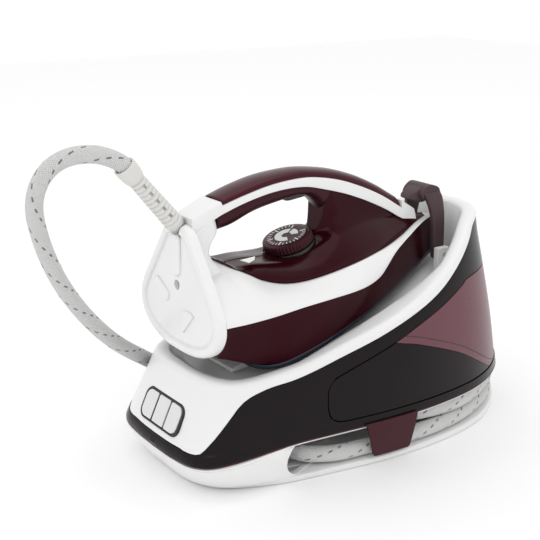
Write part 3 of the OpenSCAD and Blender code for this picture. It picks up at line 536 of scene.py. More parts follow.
def lerp(a, b, t):
    """Value t of the way from a to b."""
    return a + (b - a) * t


def curve(points, n=60):
    """Dense smooth line through side view points."""
    t = list(range(len(points)))
    xs, zs = list(zip(t, [p[0] for p in points])), list(zip(t, [p[1] for p in points]))
    m = len(points) - 1
    return [(smooth(k * m / n, xs), smooth(k * m / n, zs)) for k in range(n + 1)]


TANK_TOP = [(-66, 60), (-64.5, 74), (-59, 81.5), (-49, 86), (-24, 94.5), (2, 103), (31, 113.5), (59, 123),
            (88, 134), (100, 138), (140, 139), (220, 139)]
ARCH_LINE = [(-20, 112), (2, 103), (22, 98), (40, 92), (59, 85), (78, 77), (95, 68), (114, 57), (132, 47),
             (150, 40), (172, 31), (200, 20)]


def zone(g, bottom=46.5):
    """Side view region of the tank, grown by g."""
    top = curve(TANK_TOP, 90)
    foot = curve([(-66, 60), (-64, 52), (-58, 47.6), (-50, 46.5)], 14)
    left = [(x - g * (0.9 if x < -55 else 0.35), z + (g if x > -58 else 0)) for x, z in top]
    under = [(x - g, z - g * 0.6) for x, z in foot]
    return prism_data([(220, bottom - g)] + list(reversed(under)) + left[1:], -130, 130)


def add_tray():
    """White foot with the cord bay, its lining and the hose's mouth."""
    def wall(f):
        return lambda a: lerp(7.0, lowz(a) - 2.4, f)
    spec = [(flat(0), flat(1.8)), (flat(0.35), flat(0.9)), (flat(1.0), flat(0.25)), (flat(2.0), flat(0)),
            (flat(4.2), flat(0)), (flat(5.0), lip(0.25)), (flat(5.6), lip(0.9)), (flat(6.0), lip(2.4)),
            (flat(6.2), bay(0, 0.6)), (flat(6.4), groove)]
    spec += [(wall(f), groove) for f in (0, 0.15, 0.3, 0.45, 0.6, 0.75, 0.9, 1.0)]
    spec += [(low(-2.2), bay(0, 0.6)), (low(-2.1), lip(2.6)), (low(-1.8), lip(1.5)),
             (low(-0.8), lip(1.2, 0.8)), (low(-0.4), lip(1.6)), (low(-0.4), bay(5)), (flat(3), bay(5)),
             (flat(0), bay(5))]
    v, f = band_data(rows(spec))
    tray = new_object("base_tray_shell", v, f, MAT["white"], "base", ("base_tray",), "white")
    end = [(-92 - 13.6 * math.sin(q * math.pi / 24), 20.6 + 13.6 * math.cos(q * math.pi / 24))
           for q in range(25)]
    mouth = prism_data([(64, 7.0), (64, 34.2)] + end, -98, -30)
    cut(tray, [helper(mouth), helper(box_data((60, 44, 6.9), (152, 96, TRAY_TOP - 2.7)))])
    finish_edges(tray, 0.45, 50)
    spec = [(flat(6.7), bay(-0.25)), (lambda a: (6.7 + lowz(a) - 2.6) / 2, bay(-0.3)),
            (low(-2.6), bay(-0.25)), (low(-2.6), bay(5.2)), (flat(6.7), bay(5.2))]
    v, f = band_data(rows(spec))
    lining = new_object("cord_bay_lining", v, f, MAT["white"], "base", (), "white")
    cut(lining, [helper(box_data((-210, -100, 0), (-78, 100, 60))),
                 helper(box_data((-92, -98, 6.6), (64, -30, TRAY_TOP - 2.5))),
                 helper(box_data((60, 44, 6.9), (152, 96, TRAY_TOP - 2.7)))])
    finish_edges(lining, 0.2, 50)
    # recess behind the hose's mouth: back wall, floor and roof; the back wall is grey to paint the shade
    # deep in the recess
    back = [(-103, -60), (-92, -42), (-70, -6), (-32, -2), (0, -8), (32, -36), (63, -60)]
    front = [(-100, -60), (-88, -44), (-66, -12), (-30, -8), (0, -14), (30, -40), (60, -64), (63, -64)]
    v, f = plan_prism(front + back[::-1], 6.6, BAY_ROOF)
    shaded_back = new_object("cord_bay_shaded_back", v, f, MAT["grey"], "base", (), "grey")
    finish_edges(shaded_back, 0.5, 30)
    deck = back + [(64, -72), (20, -76), (-20, -76), (-60, -72)]
    for name, z0, z1 in (("cord_bay_floor", 5.2, 6.5), ("cord_bay_roof", BAY_ROOF, TRAY_TOP - 1.4)):
        v, f = plan_prism(deck, z0, z1)
        piece = new_object(name, v, f, MAT["white"], "base", (), "white")
        finish_edges(piece, 0.2, 30)


def add_side_shell():
    """Dark shell with its raised belt, and a lighter maroon line under the belt that paints the highlight
    on its lower crease.
    """
    def belt(a):
        return min(lowz(a) + 9, zsplit(a) - 1)

    def up(f):
        return lambda a: lowz(a) + 10.4 + max(zsplit(a) - lowz(a) - 11, 0) * f

    def split(c):
        return lambda a: zsplit(a) + c
    spec = [(lowz, flat(0.9)), (low(0.3), flat(0.0)), (low(1), flat(-0.4)),
            (lambda a: lerp(lowz(a) + 1, belt(a), 0.5), flat(-0.4)), (belt, flat(-0.4)),
            (lambda a: min(lowz(a) + 9.5, zsplit(a) - 0.8), flat(-0.1)),
            (lambda a: min(lowz(a) + 10, zsplit(a) - 0.6), flat(0.25))]
    spec += [(up(t), flat(0.2)) for t in (0.05, 0.15, 0.3, 0.45, 0.6, 0.75, 0.9)]
    spec += [(split(-0.6), flat(0.2)), (split(-0.25), flat(0.5)), (split(-0.25), flat(2.8)),
             (up(0.5), flat(2.8)), (low(1), flat(2.8)), (lowz, flat(2.8))]
    v, f = band_data(rows(spec))
    shell = new_object("side_shell_band", v, f, MAT["dark"], "base", ("side_shell",), "dark")
    cut(shell, [helper(zone(0.9))])
    finish_edges(shell, 0.4, 42)
    # lighter maroon line at the belt's lower edge: painted highlight on the crease
    line = [(low(-0.35), flat(0.5)), (low(0.9), flat(-0.62)), (low(1.5), flat(-0.5)),
            (low(1.5), flat(1.5)), (low(-0.35), flat(1.5))]
    v, f = band_data(rows(line))
    crease_highlight = new_object("belt_crease_highlight", v, f, MAT["maroon_soft"], "base", (), "maroon")
    finish_edges(crease_highlight, 0.2, 40)


WIDE = (-130, 130)


def add_tank():
    """Water tank: plum field above, dark field below, and between them a thin lighter line that paints the
    highlight along the groove.
    """
    def body(d):
        return loft_data([[sp(a, z, d) for a in ANGS] for z in range(42, 147, 8)])
    saddle = [(-120, 70.6), (102, 127.7), (102, 220), (-120, 220)]
    rear = [(90, 124.6), (140, 137.4), (140, 220), (90, 220)]
    line = curve(ARCH_LINE, 60)
    below = [(-100, 0)] + [(x, z + 0.2) for x, z in [(-100, 150)] + line] + [(230, 0)]
    above = [(230, 300), (-100, 300), (-100, 150)] + [(x, z - 0.2) for x, z in line] + [(230, 0)]
    halves = (("tank_upper", "plum", ("tank_shell",), below), ("tank_lower", "dark", (), above))
    for name, mat, stands_for, rest in halves:
        obj = new_object(name, *body(0.35), MAT[mat], "tank", stands_for, mat)
        cut(obj, [helper(zone(-0.2))], "INTERSECT")
        cut(obj, [helper(prism_data(saddle, -67, 67)), helper(prism_data(rear, -49, 49)),
                  helper(prism_data(rest, *WIDE))])
        finish_edges(obj, 0.7, 35, 3)
    # thin raised band in the lighter arch colour: painted highlight along the tank's groove
    highlight_rib = [(x + 2.2, z + 5.4) for x, z in line]
    obj = new_object("tank_groove_highlight", *body(0.15), MAT["arch"], "tank", (), "arch")
    cut(obj, [helper(prism_data(highlight_rib + [(x + 0.25, z + 0.8) for x, z in reversed(highlight_rib)], *WIDE))],
        "INTERSECT")
    ends = [[(-60, 40), (-60, 140), (12, 140), (12, 40)], [(172, 0), (172, 60), (230, 60), (230, 0)]]
    cut(obj, [helper(prism_data(ends[0], *WIDE)), helper(prism_data(saddle, -67, 67)),
              helper(prism_data(ends[1], *WIDE))])
    finish_edges(obj, 0.12, 35)


def add_casing():
    """White upper casing: dished top for the iron, rim, and flank down to the dark shell."""
    wall = 14

    def dish(a, z, d, g=0.0):
        x, y, _ = sp(a, z, d)
        return (min(max(x, -150 - g), 145 + g), min(max(y, -61.5 - g), 61.5 + g), z)

    def floor_z(x):
        k = 106 + 0.257 * x
        return 80 + math.log1p(math.exp((k - 80) / 2.0)) * 2.0 if k < 96 else k

    def deep(a, s, up):
        x, y, _ = dish(a, zrim(a), wall + 6)
        x = -8 + (x + 8) * s
        return (x, y * s, floor_z(x) + up)

    def between(p, q, t):
        return tuple(lerp(u, v, t) for u, v in zip(p, q))

    def under_rim(drop, d):
        return [sp(a, zrim(a) - drop, d) for a in ANGS]
    rings = [[deep(a, s, 0) for a in ANGS] for s in (0.08, 0.2, 0.35, 0.5, 0.65, 0.8, 0.9, 0.97)]
    rings += [[between(deep(a, 0.985, 0.6), dish(a, zrim(a) - 4, wall), t) for a in ANGS]
              for t in (0.15, 0.4, 0.7)]
    rings += [[dish(a, zrim(a) - 4, wall) for a in ANGS],
              [dish(a, zrim(a) - 1.6, wall - 2.2, 1) for a in ANGS],
              [between(dish(a, zrim(a) - 0.5, wall - 4, 2), sp(a, zrim(a), 8), 0.5) for a in ANGS]]
    roll = ((0, 6), (0, 4.4), (0.35, 2.6), (1.1, 1.3), (2.2, 0.5), (3.6, 0.1))
    rings += [under_rim(drop, d) for drop, d in roll]
    for t in (0.06, 0.16, 0.28, 0.4, 0.52, 0.64, 0.76, 0.88, 0.96):
        rings.append([sp(a, lerp(zrim(a) - 3.6, zsplit(a) + 0.8, t), 0) for a in ANGS])
    rings += [[sp(a, zsplit(a) + up, d) for a in ANGS] for up, d in ((0.6, 0), (0.25, 0.3), (0.25, 2.6))]
    rings += [[sp(a, (zrim(a) + zsplit(a)) / 2, 2.6) for a in ANGS], under_rim(4, 4.1),
              [dish(a, zrim(a) - 4.5, wall - 3, 3) for a in ANGS]]
    rings += [[deep(a, s, -3) for a in ANGS] for s in (0.99, 0.6, 0.08)]
    v, f = loft_data(rings)
    obj = new_object("upper_casing_shell", v, f, MAT["white"], "base", ("upper_casing",), "white")
    cut(obj, [panel_prism(rounded(61.0, 28.0, 8.6), -12, 12)])
    finish_edges(obj, 0.5, 55)
    for s in (-1, 1):
        ear = box_data((101, s * 26.5 - 3, 130), (115, s * 26.5 + 3, 155))
        boss = new_object("arch_boss", *ear, MAT["white"], "base", (), "white")
        finish_edges(boss, 1.2, 40, 3)


# ------------------------------------------------------------------ key panel
def rounded(w, h, r, n=10):
    """Rounded rectangle outline."""
    out = []
    for cx, cy, a0 in ((w / 2 - r, h / 2 - r, 0), (r - w / 2, h / 2 - r, 90), (r - w / 2, r - h / 2, 180),
                       (w / 2 - r, r - h / 2, 270)):
        for k in range(n + 1):
            a = math.radians(a0 + 90 * k / n)
            out.append((cx + r * math.cos(a), cy + r * math.sin(a)))
    return out


# panel coordinates: across, up the slope, out of it
PANEL = (Matrix.Translation((-173.4, 0, 54.5)) @ Matrix.Rotation(math.radians(-64.6), 4, "Y")
         @ Matrix.Rotation(math.radians(90), 4, "Z"))
KEY_PITCH = 19.0


def panel_rings(rings):
    """Rings in panel coordinates moved to the sloping front."""
    return [[tuple(PANEL @ Vector(p)) for p in r] for r in rings]


def panel_prism(outline, z0, z1):
    """Panel outline pushed through z0..z1, as a helper."""
    return helper(loft_data(panel_rings([[(x, y, z) for x, y in outline] for z in (z0, z1)])))


def key_outline(i, g):
    """Key face: outer keys carry large outer corners."""
    w, h = 18.0 - g, 24.4 - g
    out = []
    for cx, cy, a0 in ((1, 1, 0), (-1, 1, 90), (-1, -1, 180), (1, -1, 270)):
        r = 6.6 if cx * i > 0 else 1.3
        for k in range(9):
            a = math.radians(a0 + 90 * k / 8)
            out.append((cx * (w / 2 - r) + r * math.cos(a) + i * KEY_PITCH,
                        cy * (h / 2 - r) + r * math.sin(a)))
    return out


def add_panel():
    """Dark surround and three plain keys."""
    edge = ((-6, 0), (0.2, 0), (0.7, 0.2), (0.9, 0.6), (0.9, 1.4))
    rings = [[(x, y, z) for x, y in rounded(60.4 - 2 * e, 27.4 - 2 * e, 8.3 - e)] for z, e in edge]
    v, f = loft_data(panel_rings(rings))
    bez = new_object("key_bezel", v, f, MAT["black"], "base", ("panel_bezel",), "black")
    cut(bez, [panel_prism(key_outline(i, -0.1), -5.2, 8) for i in (-1, 0, 1)])
    finish_edges(bez, 0.25, 40)
    for i, n in ((1, "key_left"), (0, "key_middle"), (-1, "key_right")):
        rings = []
        for z, g in ((-3, 1.0), (0.5, 1.0), (1.0, 1.2), (1.35, 1.7), (1.5, 2.6), (1.55, 4.0)):
            rings.append([(x, y, z) for x, y in key_outline(i, g)])
        cx = i * KEY_PITCH
        for t, z in ((0.7, 1.45), (0.4, 1.3), (0.12, 1.25)):
            rings.append([(cx + (x - cx) * t, y * t, z) for x, y in key_outline(i, 4.0)])
        v, f = loft_data(panel_rings(rings))
        k = new_object(n + "_cap", v, f, MAT["key"], n, (n,), "grey")
        finish_edges(k, 0, 40)


def add_clip():
    """Plate that keeps the wound hose in its bay."""
    outer = (5.8, 8, 12, 18, 24, 30, 36, 42, 48, 54)
    rings = [[sp(a, z, -2.8) for a in ANGS] for z in outer] + [[sp(a, z, -0.9) for a in ANGS]
            for z in reversed(outer)]
    v, f = band_data(rings)
    clip = new_object("cord_clip_plate", v, f, MAT["maroon_soft"], "base", ("cord_clip",), "maroon")
    shape = [(-33, 40), (-29, 25), (-25.4, 10.8), (-23.5, 9), (11.5, 9), (13.4, 10.8), (17, 25), (21, 40)]
    cut(clip, [helper(prism_data(shape, -140, -40))], "INTERSECT")
    finish_edges(clip, 0.6, 35, 3)


ARCH_SECTION = ((0, 2), (0.6, 0.7), (2, 0), (8, 0), (9.4, 0.7), (10, 2), (10, 8), (9.4, 9.3), (8, 10),
                (2, 10), (0.6, 9.3), (0, 8))
TONGUE_SECTION = ((-1, 0.15), (-0.92, 0.03), (-0.7, 0), (0.7, 0), (0.92, 0.03), (1, 0.15), (1, 0.8),
                  (0.9, 0.96), (0.7, 1), (-0.7, 1), (-0.9, 0.96), (-1, 0.8))


def add_arch():
    """Lock arch: two leaning legs, a cross plate and the tongue over the iron's nose."""
    x0 = [(141.5, 106.5), (143.5, 103.6), (147, 102.4), (160, 102), (178, 102), (190, 100.8), (200, 97.5),
          (204, 96)]
    x1 = [(141.5, 111.5), (143.5, 113.8), (147, 115), (160, 115.5), (178, 116.3), (190, 117), (200, 117),
          (204, 115.6)]
    yi = [(141.5, 17.4), (147, 16.8), (160, 16.5), (178, 15.4), (190, 13), (200, 10), (204, 8)]
    yo = [(141.5, 22.4), (147, 23), (160, 22.6), (178, 21.2), (190, 19), (200, 16), (204, 13.6)]
    # legs: front and rear edge, inner and outer half width, by height
    tools = []
    arch = None
    for s in (-1, 1):
        rings = []
        for z in spread(141.5, 204, 40):
            a, b, c, d = smooth(z, x0), smooth(z, x1), smooth(z, yi), smooth(z, yo)
            rings.append([(a + x * (b - a) / 10, s * (c + y * (d - c) / 10), z) for x, y in ARCH_SECTION])
        if arch is None:
            v, f = loft_data(rings)
            arch = new_object("lock_arch_yoke", v, f, MAT["arch"], "lock_arch", ("lock_arch",), "arch")
        else:
            tools.append(helper(loft_data(rings)))
    plate = curve([(101.6, 196.6), (109, 196.4), (116.8, 198.4), (116.6, 202.5), (114.6, 206.8),
                   (110.5, 209.4), (104.6, 210.9), (99.6, 209.6), (95, 205.6), (93.4, 201.6), (96.6, 198),
                   (101.6, 196.6)], 60)[:-1]
    tools.append(helper(prism_data(plate, -13, 13)))
    rings = []
    for k in range(13):
        t = k / 12
        x = lerp(84.4, 104, t)
        w = smooth(t, [(0, 5.6), (0.08, 7.2), (0.2, 8.2), (0.6, 9.0), (1, 9.4)])
        lo = smooth(t, [(0, 199.6), (0.06, 198.6), (0.3, 196.6), (0.7, 194.4), (1, 195.6)])
        hi = smooth(t, [(0, 200.6), (0.06, 201.8), (0.3, 205), (0.7, 208.6), (1, 210.4)])
        rings.append([(x, y * w, lerp(lo, hi, z)) for y, z in TONGUE_SECTION])
    tools.append(helper(loft_data(rings)))
    cut(arch, tools, "UNION")
    cut(arch, [helper(round_bar((109, -40, 148), (0, 1, 0), 2.05, 80))])
    finish_edges(arch, 0.8, 40, 3)


def add_rest():
    """Pad under the iron's heel."""
    poly = [(-118, 81.7), (-89, 83.9), (-86, 84.7), (-86, 93.3), (-118, 85.1)]
    v, f = prism_data(poly, -20, 20)
    obj = new_object("rest_pad", v, f, MAT["white"], "base", ("rest_block",), "white")
    finish_edges(obj, 1.0, 40, 3)


# ------------------------------------------------------------------ round parts
def turned(place, axis, profile, n=64, wave=None):
    """Rings of (distance along the axis, radius) turned round it."""
    axis = Vector(axis).normalized()
    side = Vector((0, 1, 0)) if abs(axis.y) < 0.9 else Vector((1, 0, 0))
    side = (side - axis * side.dot(axis)).normalized()
    up = axis.cross(side)
    rings = []
    for h, r in profile:
        ring = []
        for k in range(n):
            a = 2 * math.pi * k / n
            q = r * (wave(k / n, h) if wave else 1)
            ring.append(tuple(Vector(place) + axis * h + (side * math.cos(a) + up * math.sin(a)) * q))
        rings.append(ring)
    return rings


def round_bar(place, axis, r, h, n=48):
    """Plain cylinder of length h from place along axis."""
    return loft_data(turned(place, axis, [(0, r), (h, r)], n))


# ------------------------------------------------------------------ iron
TILT, SOLE_Z = math.radians(14.4), 116      # slope of the rest and the sole's height at u = 0


def iron(p):
    """Iron coordinates (along the sole, across, above it) to the shared frame."""
    u, y, z = p
    return (u * math.cos(TILT) - z * math.sin(TILT), y, SOLE_Z + u * math.sin(TILT) + z * math.cos(TILT))


DIAL_AT = (-29, 0, 66.4)      # in iron coordinates
DIAL_R = 22.5
HEEL_X = -148.7               # plane of the upright heel, in the shared frame
RELIEF_AT = (-152, 0, 205)
RELIEF_LEAN = math.radians(40)
RELIEF_AXIS = (-math.sin(RELIEF_LEAN), 0, math.cos(RELIEF_LEAN))


def iron_rings(rings):
    return [[iron(p) for p in r] for r in rings]


def iron_prism(outline, y0, y1):
    """Side view outline (u, z) in iron coordinates pushed through y0..y1."""
    return loft_data(iron_rings([[(u, y, z) for u, z in outline] for y in (y0, y1)]))


# iron lines along u: heights (E), half widths (W) and depths (D); TOP_L is the handle's top
SKIRT_E = [(-146, 61), (-138, 59), (-118, 54), (-94, 49), (-66, 44), (-36, 37), (-10, 30.5), (11, 26.5),
           (26, 26), (38, 29), (50, 32.5), (62, 34), (84, 34.5), (119, 34), (131, 30)]
SKIRT_W = [(-146, 61.5), (-118, 62.5), (-94, 63), (-66, 62.5), (-36, 60), (-3, 55), (15, 50), (30, 45),
           (46, 39), (62, 32), (78, 25), (95, 17.5), (110, 11.5), (122, 7.5), (131, 3)]
WIN_E = [(-112, 86), (-100, 83), (-93, 78), (-81, 67), (-64, 58), (-40, 52), (1, 47), (41, 41), (73, 37),
         (107, 36), (122, 35)]
WIN_W = [(-112, 22), (-100, 24), (-93, 28), (-81, 34), (-64, 40), (-40, 43), (1, 43), (41, 33.5),
         (73, 21.5), (107, 8), (122, 4)]
RIDGE = [(-98, 83), (-80, 79), (-62, 73), (-46, 68.5), (-30, 67), (-12, 69), (10, 70), (40, 66), (70, 57),
         (95, 48), (112, 40), (118, 37.5)]
SOLE_W = [(-150, 46), (-130, 52), (-104, 54.5), (-88, 59.5), (-77, 60.5), (-50, 60), (-30, 57.5), (6, 51),
          (38, 41.5), (65, 31.5), (90, 21), (108, 13), (122, 8), (133, 2)]
TOP_L = [(-124, 134), (-107, 136.5), (-92, 138.5), (-67, 140), (-42, 139), (-12, 133.5), (8, 126.5),
         (28, 117), (47, 105), (60, 95), (72, 84.5), (86, 70.5), (99, 57.5), (110, 47)]
CAP_D = [(-96, 4.5), (-60, 6), (0, 7), (30, 8.5), (50, 9.5), (90, 9.5)]
STRIP_D = [(-124, 14.5), (-96, 11.5), (-46, 12.5), (-14, 14.5), (14, 19), (44, 22), (72, 22.5), (90, 21),
           (102, 15), (108, 11)]


def prof(t, p):
    """Flank bulge from 1 at the foot to 0 at the top, full for p > 0 and hollow for p < 0."""
    return 1 - t ** p if p > 0 else (1 - t) ** -p


def sec(u, zb, wb, zt, wt, p, ne=14):
    """Cross ring: from the wide foot up to the narrow top on both sides."""
    left = [(u, -max(wt + (wb - wt) * prof(i / ne, p), 0.3), zb + (zt - zb) * i / ne)
            for i in range(ne + 1)]
    return left + [(u, -y, z) for u, y, z in reversed(left)]


def spread(a, b, n):
    """n even steps from a to b, both ends in."""
    return [lerp(a, b, i / n) for i in range(n + 1)]


def heel_tool():
    """Everything behind the heel plane."""
    return helper(box_data((-400, -200, 0), (HEEL_X, 200, 500)))


def add_soleplate():
    """Thin soleplate with a rounded lower edge."""
    us = [-112, -111.4, -110, -107.5, -104, -100] + spread(-96, 118, 60) + [122, 126, 129, 131, 132]
    w = [(-112, 20), (-111.4, 33), (-110, 40), (-107.5, 46), (-104, 50.5), (-100, 54), (-92, 57.5),
         (-77, 59.3), (-50, 59), (-30, 56.4), (6, 49.8), (38, 40.2), (65, 30.2), (90, 19.8), (108, 11.8),
         (122, 6.5), (129, 3.5), (132, 0.3)]
    outline = [(u, -smooth(u, w)) for u in us] + [(u, smooth(u, w)) for u in reversed(us)]
    mid = -10

    def ring(z, d):
        along, across = 1 - d / 120, 1 - d / 60
        return [(mid + (x - mid) * along, y * across if abs(y) > 1 else y, z) for x, y in outline]
    edge = ((0.0, 2.4), (0.05, 1.4), (0.5, 0.5), (1.2, 0.0), (3.2, 0.0), (4.2, 0.2), (4.9, 0.8), (5.0, 1.6))
    v, f = loft_data(iron_rings([ring(z, d) for z, d in edge]))
    obj = new_object("soleplate_edge", v, f, MAT["sole"], "iron", ("soleplate",), "sole")
    finish_edges(obj, 0, 60)


SK_U = spread(-150, 110, 100) + [113, 116, 119, 121.5, 124, 126, 128, 130, 131.5, 133]


def skirt_low(u):
    """Lower edge of the skirt, rising toward the heel."""
    return smooth(u, [(-148, 33), (-138, 27), (-128, 20.5), (-116, 13), (-104, 8), (-96, 5.4), (134, 5.4)])


def add_skirt():
    """Dark skirt between the soleplate and the white body."""
    def ring(u):
        return sec(u, skirt_low(u), max(smooth(u, SOLE_W), 1.5), smooth(u, SKIRT_E), smooth(u, SKIRT_W),
                   -1.0)
    v, f = loft_data(iron_rings([ring(u) for u in SK_U]))
    obj = new_object("skirt_shell", v, f, MAT["skirt"], "iron", ("sole_skirt", ), "dark")
    cut(obj, [heel_tool()])
    finish_edges(obj, 0.7, 40, 3)


def add_body():
    """White body with the rear pillar that carries the handle."""
    def ring(u):
        if u > 123:
            zt, wt = smooth(u, SKIRT_E) + 1.8, smooth(u, SKIRT_W) - 1
        else:
            zt = max(smooth(u, WIN_E), smooth(u, SKIRT_E) + 1.8)
            wt = smooth(max(u, -108), WIN_W) + ((-108 - u) * 0.5 if u < -108 else 0)
        return sec(u, smooth(u, SKIRT_E) + 0.3, smooth(u, SKIRT_W), zt, wt, 1.7, 18)
    v, f = loft_data(iron_rings([ring(u) for u in SK_U]))
    obj = new_object("iron_body_shell", v, f, MAT["white"], "iron", ("iron_body",), "white")
    # rear pillar: half width and front face by height
    pillar_w = [(62, 44), (70, 36), (80, 27), (90, 21), (100, 17.5), (107, 15.8), (113, 15), (129, 14.8)]
    pillar_u = [(62, -88), (70, -94), (80, -102), (90, -109), (100, -111), (107, -107), (113, -99.5),
          (118, -97.8), (129, -97.8)]
    rings = []
    for z in spread(62, 129, 45):
        b, r = smooth(z, pillar_w), smooth(z, pillar_u)
        side = [(-150, 1.0)] + [(lerp(-150, r - 7, k / 6), 1.0) for k in range(1, 7)]
        arc = []
        for q in (15, 30, 45, 60, 75, 90):
            a = math.radians(q)
            arc.append((r - 7 + 7 * math.sin(a), 1 - 0.56 * (1 - math.cos(a))))
        half_ring = side + arc
        rings.append([(u, -w * b, z) for u, w in half_ring] + [(u, w * b, z)
                for u, w in reversed(half_ring)])
    cut(obj, [helper(loft_data(iron_rings(rings)))], "UNION")
    top = [(-175, 117), (-131, 119), (-124, 120.8), (-110, 124.6), (-97, 127.8), (-60, 130), (-60, 190),
           (-175, 190)]
    cut(obj, [heel_tool(), helper(iron_prism(top, -60, 60))])
    finish_edges(obj, 0.5, 42, 2)


PIL_TOP = [(-13, 68.0), (-10, 69), (-6, 72), (-2, 76.5), (1, 81), (3.2, 85.5), (5, 90), (7, 94.5),
           (10, 99), (13, 102.8), (16, 105.8), (20, 104), (24, 101.4), (36, 92), (48, 82.6), (60, 73),
           (72, 62.4), (84, 52.4), (92, 47.4), (104, 42), (118, 37)]
PIL_W = [(-13, 3), (-8, 5), (-2, 8), (4, 10.6), (10, 12.2), (16, 12.7), (24, 12.2), (48, 11.2), (72, 9.6),
         (92, 6.6), (104, 4), (118, 1.2)]


def add_window():
    """Glossy hood over the iron's works, rising into the handle's front pillar."""
    us = spread(-98, -14, 44) + spread(-13, 19, 42) + spread(20.5, 119, 52)
    rings = []
    for u in us:
        zb, wb = smooth(u, WIN_E) + 0.5, smooth(u, WIN_W) - 0.7
        zt = max(smooth(u, RIDGE), zb + 1.5)
        wt = smooth(u, [(-98, 18), (-60, 22), (-20, 22), (10, 21), (42, 15.5), (90, 7), (118, 1.2)])
        pt = max(smooth(u, PIL_TOP) if u > -13 else 0, zt + 0.6)
        pw = min(smooth(u, PIL_W), wt * 0.98)
        left = []
        for i in range(15):
            t = i / 14
            left.append((-max(wt + (wb - wt) * prof(t, 1.8), 0.5), zb + (zt - zb) * t * 0.96))
        h = pt - zt
        for i in range(1, 15):
            t = i / 14
            flare = (wt - pw) * (1 - t) ** 3
            left.append((-max(pw + flare, 0.45), zt - (zt - zb) * 0.04 + (h + (zt - zb) * 0.04) * t))
        for k in (0.93, 0.8, 0.55):
            left.append((-max(pw * k, 0.3), pt + 0.25))
        rings.append([(u, y, z) for y, z in left] + [(u, -y, z) for y, z in reversed(left)])
    v, f = loft_data(iron_rings(rings))
    obj = new_object("window_hood", v, f, MAT["maroon"], "iron", ("window_shell",), "maroon")
    well = turned(iron(DIAL_AT), dial_axis(), [(-1, 23.2), (0.6, 23.2), (30, 23.6)], 64)
    cut(obj, [helper(loft_data(well))])
    finish_edges(obj, 0.4, 40)


def dome(u, w, d, n=16):
    """Half round cross section of the cap, w wide and d deep under the top line."""
    z = smooth(u, TOP_L)
    return [(u, -w * math.cos(math.pi * i / n), z - d + d * math.sin(math.pi * i / n) ** 0.8)
            for i in range(n + 1)]


CAP_W = [(-96, 14), (-60, 15), (0, 13.5), (50, 11), (90, 7.5)]
# white strip's flank, top to bottom: share of its half width and of its depth
STRIP_FLANK = ((0.86, 0.0), (0.95, 0.03), (0.99, 0.12), (1.0, 0.3), (1.02, 0.6), (1.03, 0.85),
               (1.02, 0.97), (0.99, 1.0))


def add_handle():
    """Plum cap, white strip, dark grip and the trigger under it."""
    us = [-90.4, -90.2, -89.8, -89] + spread(-88, 88, 68) + [89.2, 89.8, 90.2]
    k = {-90.4: 0.8, -90.2: 0.9, -89.8: 0.96, -89: 0.99, 89.2: 0.97, 89.8: 0.92, 90.2: 0.85}
    rings = []
    for u in us:
        s = k.get(u, 1)
        r = dome(u, smooth(u, CAP_W), smooth(u, CAP_D) - 0.2)
        zb = r[0][2]
        rings.append([(x, y * (0.6 + 0.4 * s), zb + (z - zb) * s) for x, y, z in r])
    v, f = loft_data(iron_rings(rings))
    cap = new_object("handle_cap_shell", v, f, MAT["plum_gloss"], "iron", ("handle_cap",), "plum")
    finish_edges(cap, 0.4, 45)
    # white strip under the cap, hollow above the grip
    strip_w = [(-124, 13), (-100, 14.5), (-60, 16), (0, 15), (50, 13.4), (72, 12), (90, 9.8), (108, 6.6)]
    rings = []
    drops = [(q, 1.5) for q in [-131] + spread(-128, -92, 16) + [-91.3]] + [(-90.9, 4.9)]
    drops += [(q, smooth(q, CAP_D) + 0.1) for q in spread(-90, 90, 72)]
    drops += [(90.5, 9.4), (91, 2.0), (93, 1.5), (96, 1.5), (99, 1.5), (103, 1.7), (106, 2)]
    for u, t0 in drops:
        z, w, t1 = smooth(u, TOP_L), smooth(u, strip_w), max(smooth(u, STRIP_D), t0 + 2)
        left = []
        for y, q in STRIP_FLANK:
            left.append((-w * y, z - t0 - (t1 - t0) * q))
        rings.append([(u, y, zz) for y, zz in left] + [(u, -y, zz) for y, zz in reversed(left)])
    v, f = loft_data(iron_rings(rings))
    strip = new_object("handle_strip_shell", v, f, MAT["white"], "iron", ("handle_strip",), "white")
    room = []
    for u in spread(-97.6, 109, 60):
        lo = [(-97, 11.5), (-46, 12.5), (-14, 14.5), (6, 15.5)]
        hi = [(6, 15.2), (48, 16), (72, 16), (84, 14.5), (95, 12), (108, 5.5)]
        z = smooth(u, TOP_L) - smooth(u, lo if u < 5 else hi)
        w = smooth(u, strip_w) - 1.6
        room.append([(u, -w, z - 30), (u, -w, z), (u, w, z), (u, w, z - 30)])
    cut(strip, [helper(loft_data(iron_rings(room))), heel_tool()])
    finish_edges(strip, 0.6, 45, 3)
    # dark grip underneath
    rings = []
    for u in [-97.2] + spread(-96, 14, 62) + [14.8]:
        t = smooth(u, TOP_L) - smooth(u, [(-97, 11.8), (-46, 12.8), (-14, 14.8), (6, 15.8)])
        b = smooth(u, [(-97, 112.5), (-84, 111.5), (-61, 114), (-35, 112.5), (-20, 111), (-12, 108.8),
                       (-6, 105.5), (-2, 102), (1.5, 97.5), (4, 92.5), (6, 88), (14, 84)])
        w = smooth(u, [(-97, 13), (-60, 14.5), (0, 13.4), (14, 12.6)])
        deep = max(t - 3 - b, 1)
        ring = [(u, -w + 0.2, t), (u, w - 0.2, t)]
        for i in range(23):
            a = math.pi * i / 22
            ring.append((u, w * math.cos(a), t - 3 - deep * math.sin(a) ** 0.85))
        rings.append(ring)
    v, f = loft_data(iron_rings(rings))
    grip = new_object("handle_grip_shell", v, f, MAT["grip"], "iron", ("handle_grip",), "maroon")
    finish_edges(grip, 0.5, 45)
    v, f = iron_prism([(-26, 109.4), (-22, 108.2), (-10, 106.4), (-6, 105.8), (-6, 113), (-26, 113)], -4.8,
                      4.8)
    trig = new_object("trigger_key", v, f, MAT["black"], "trigger", ("trigger",), "black")
    finish_edges(trig, 0.7, 35, 3)


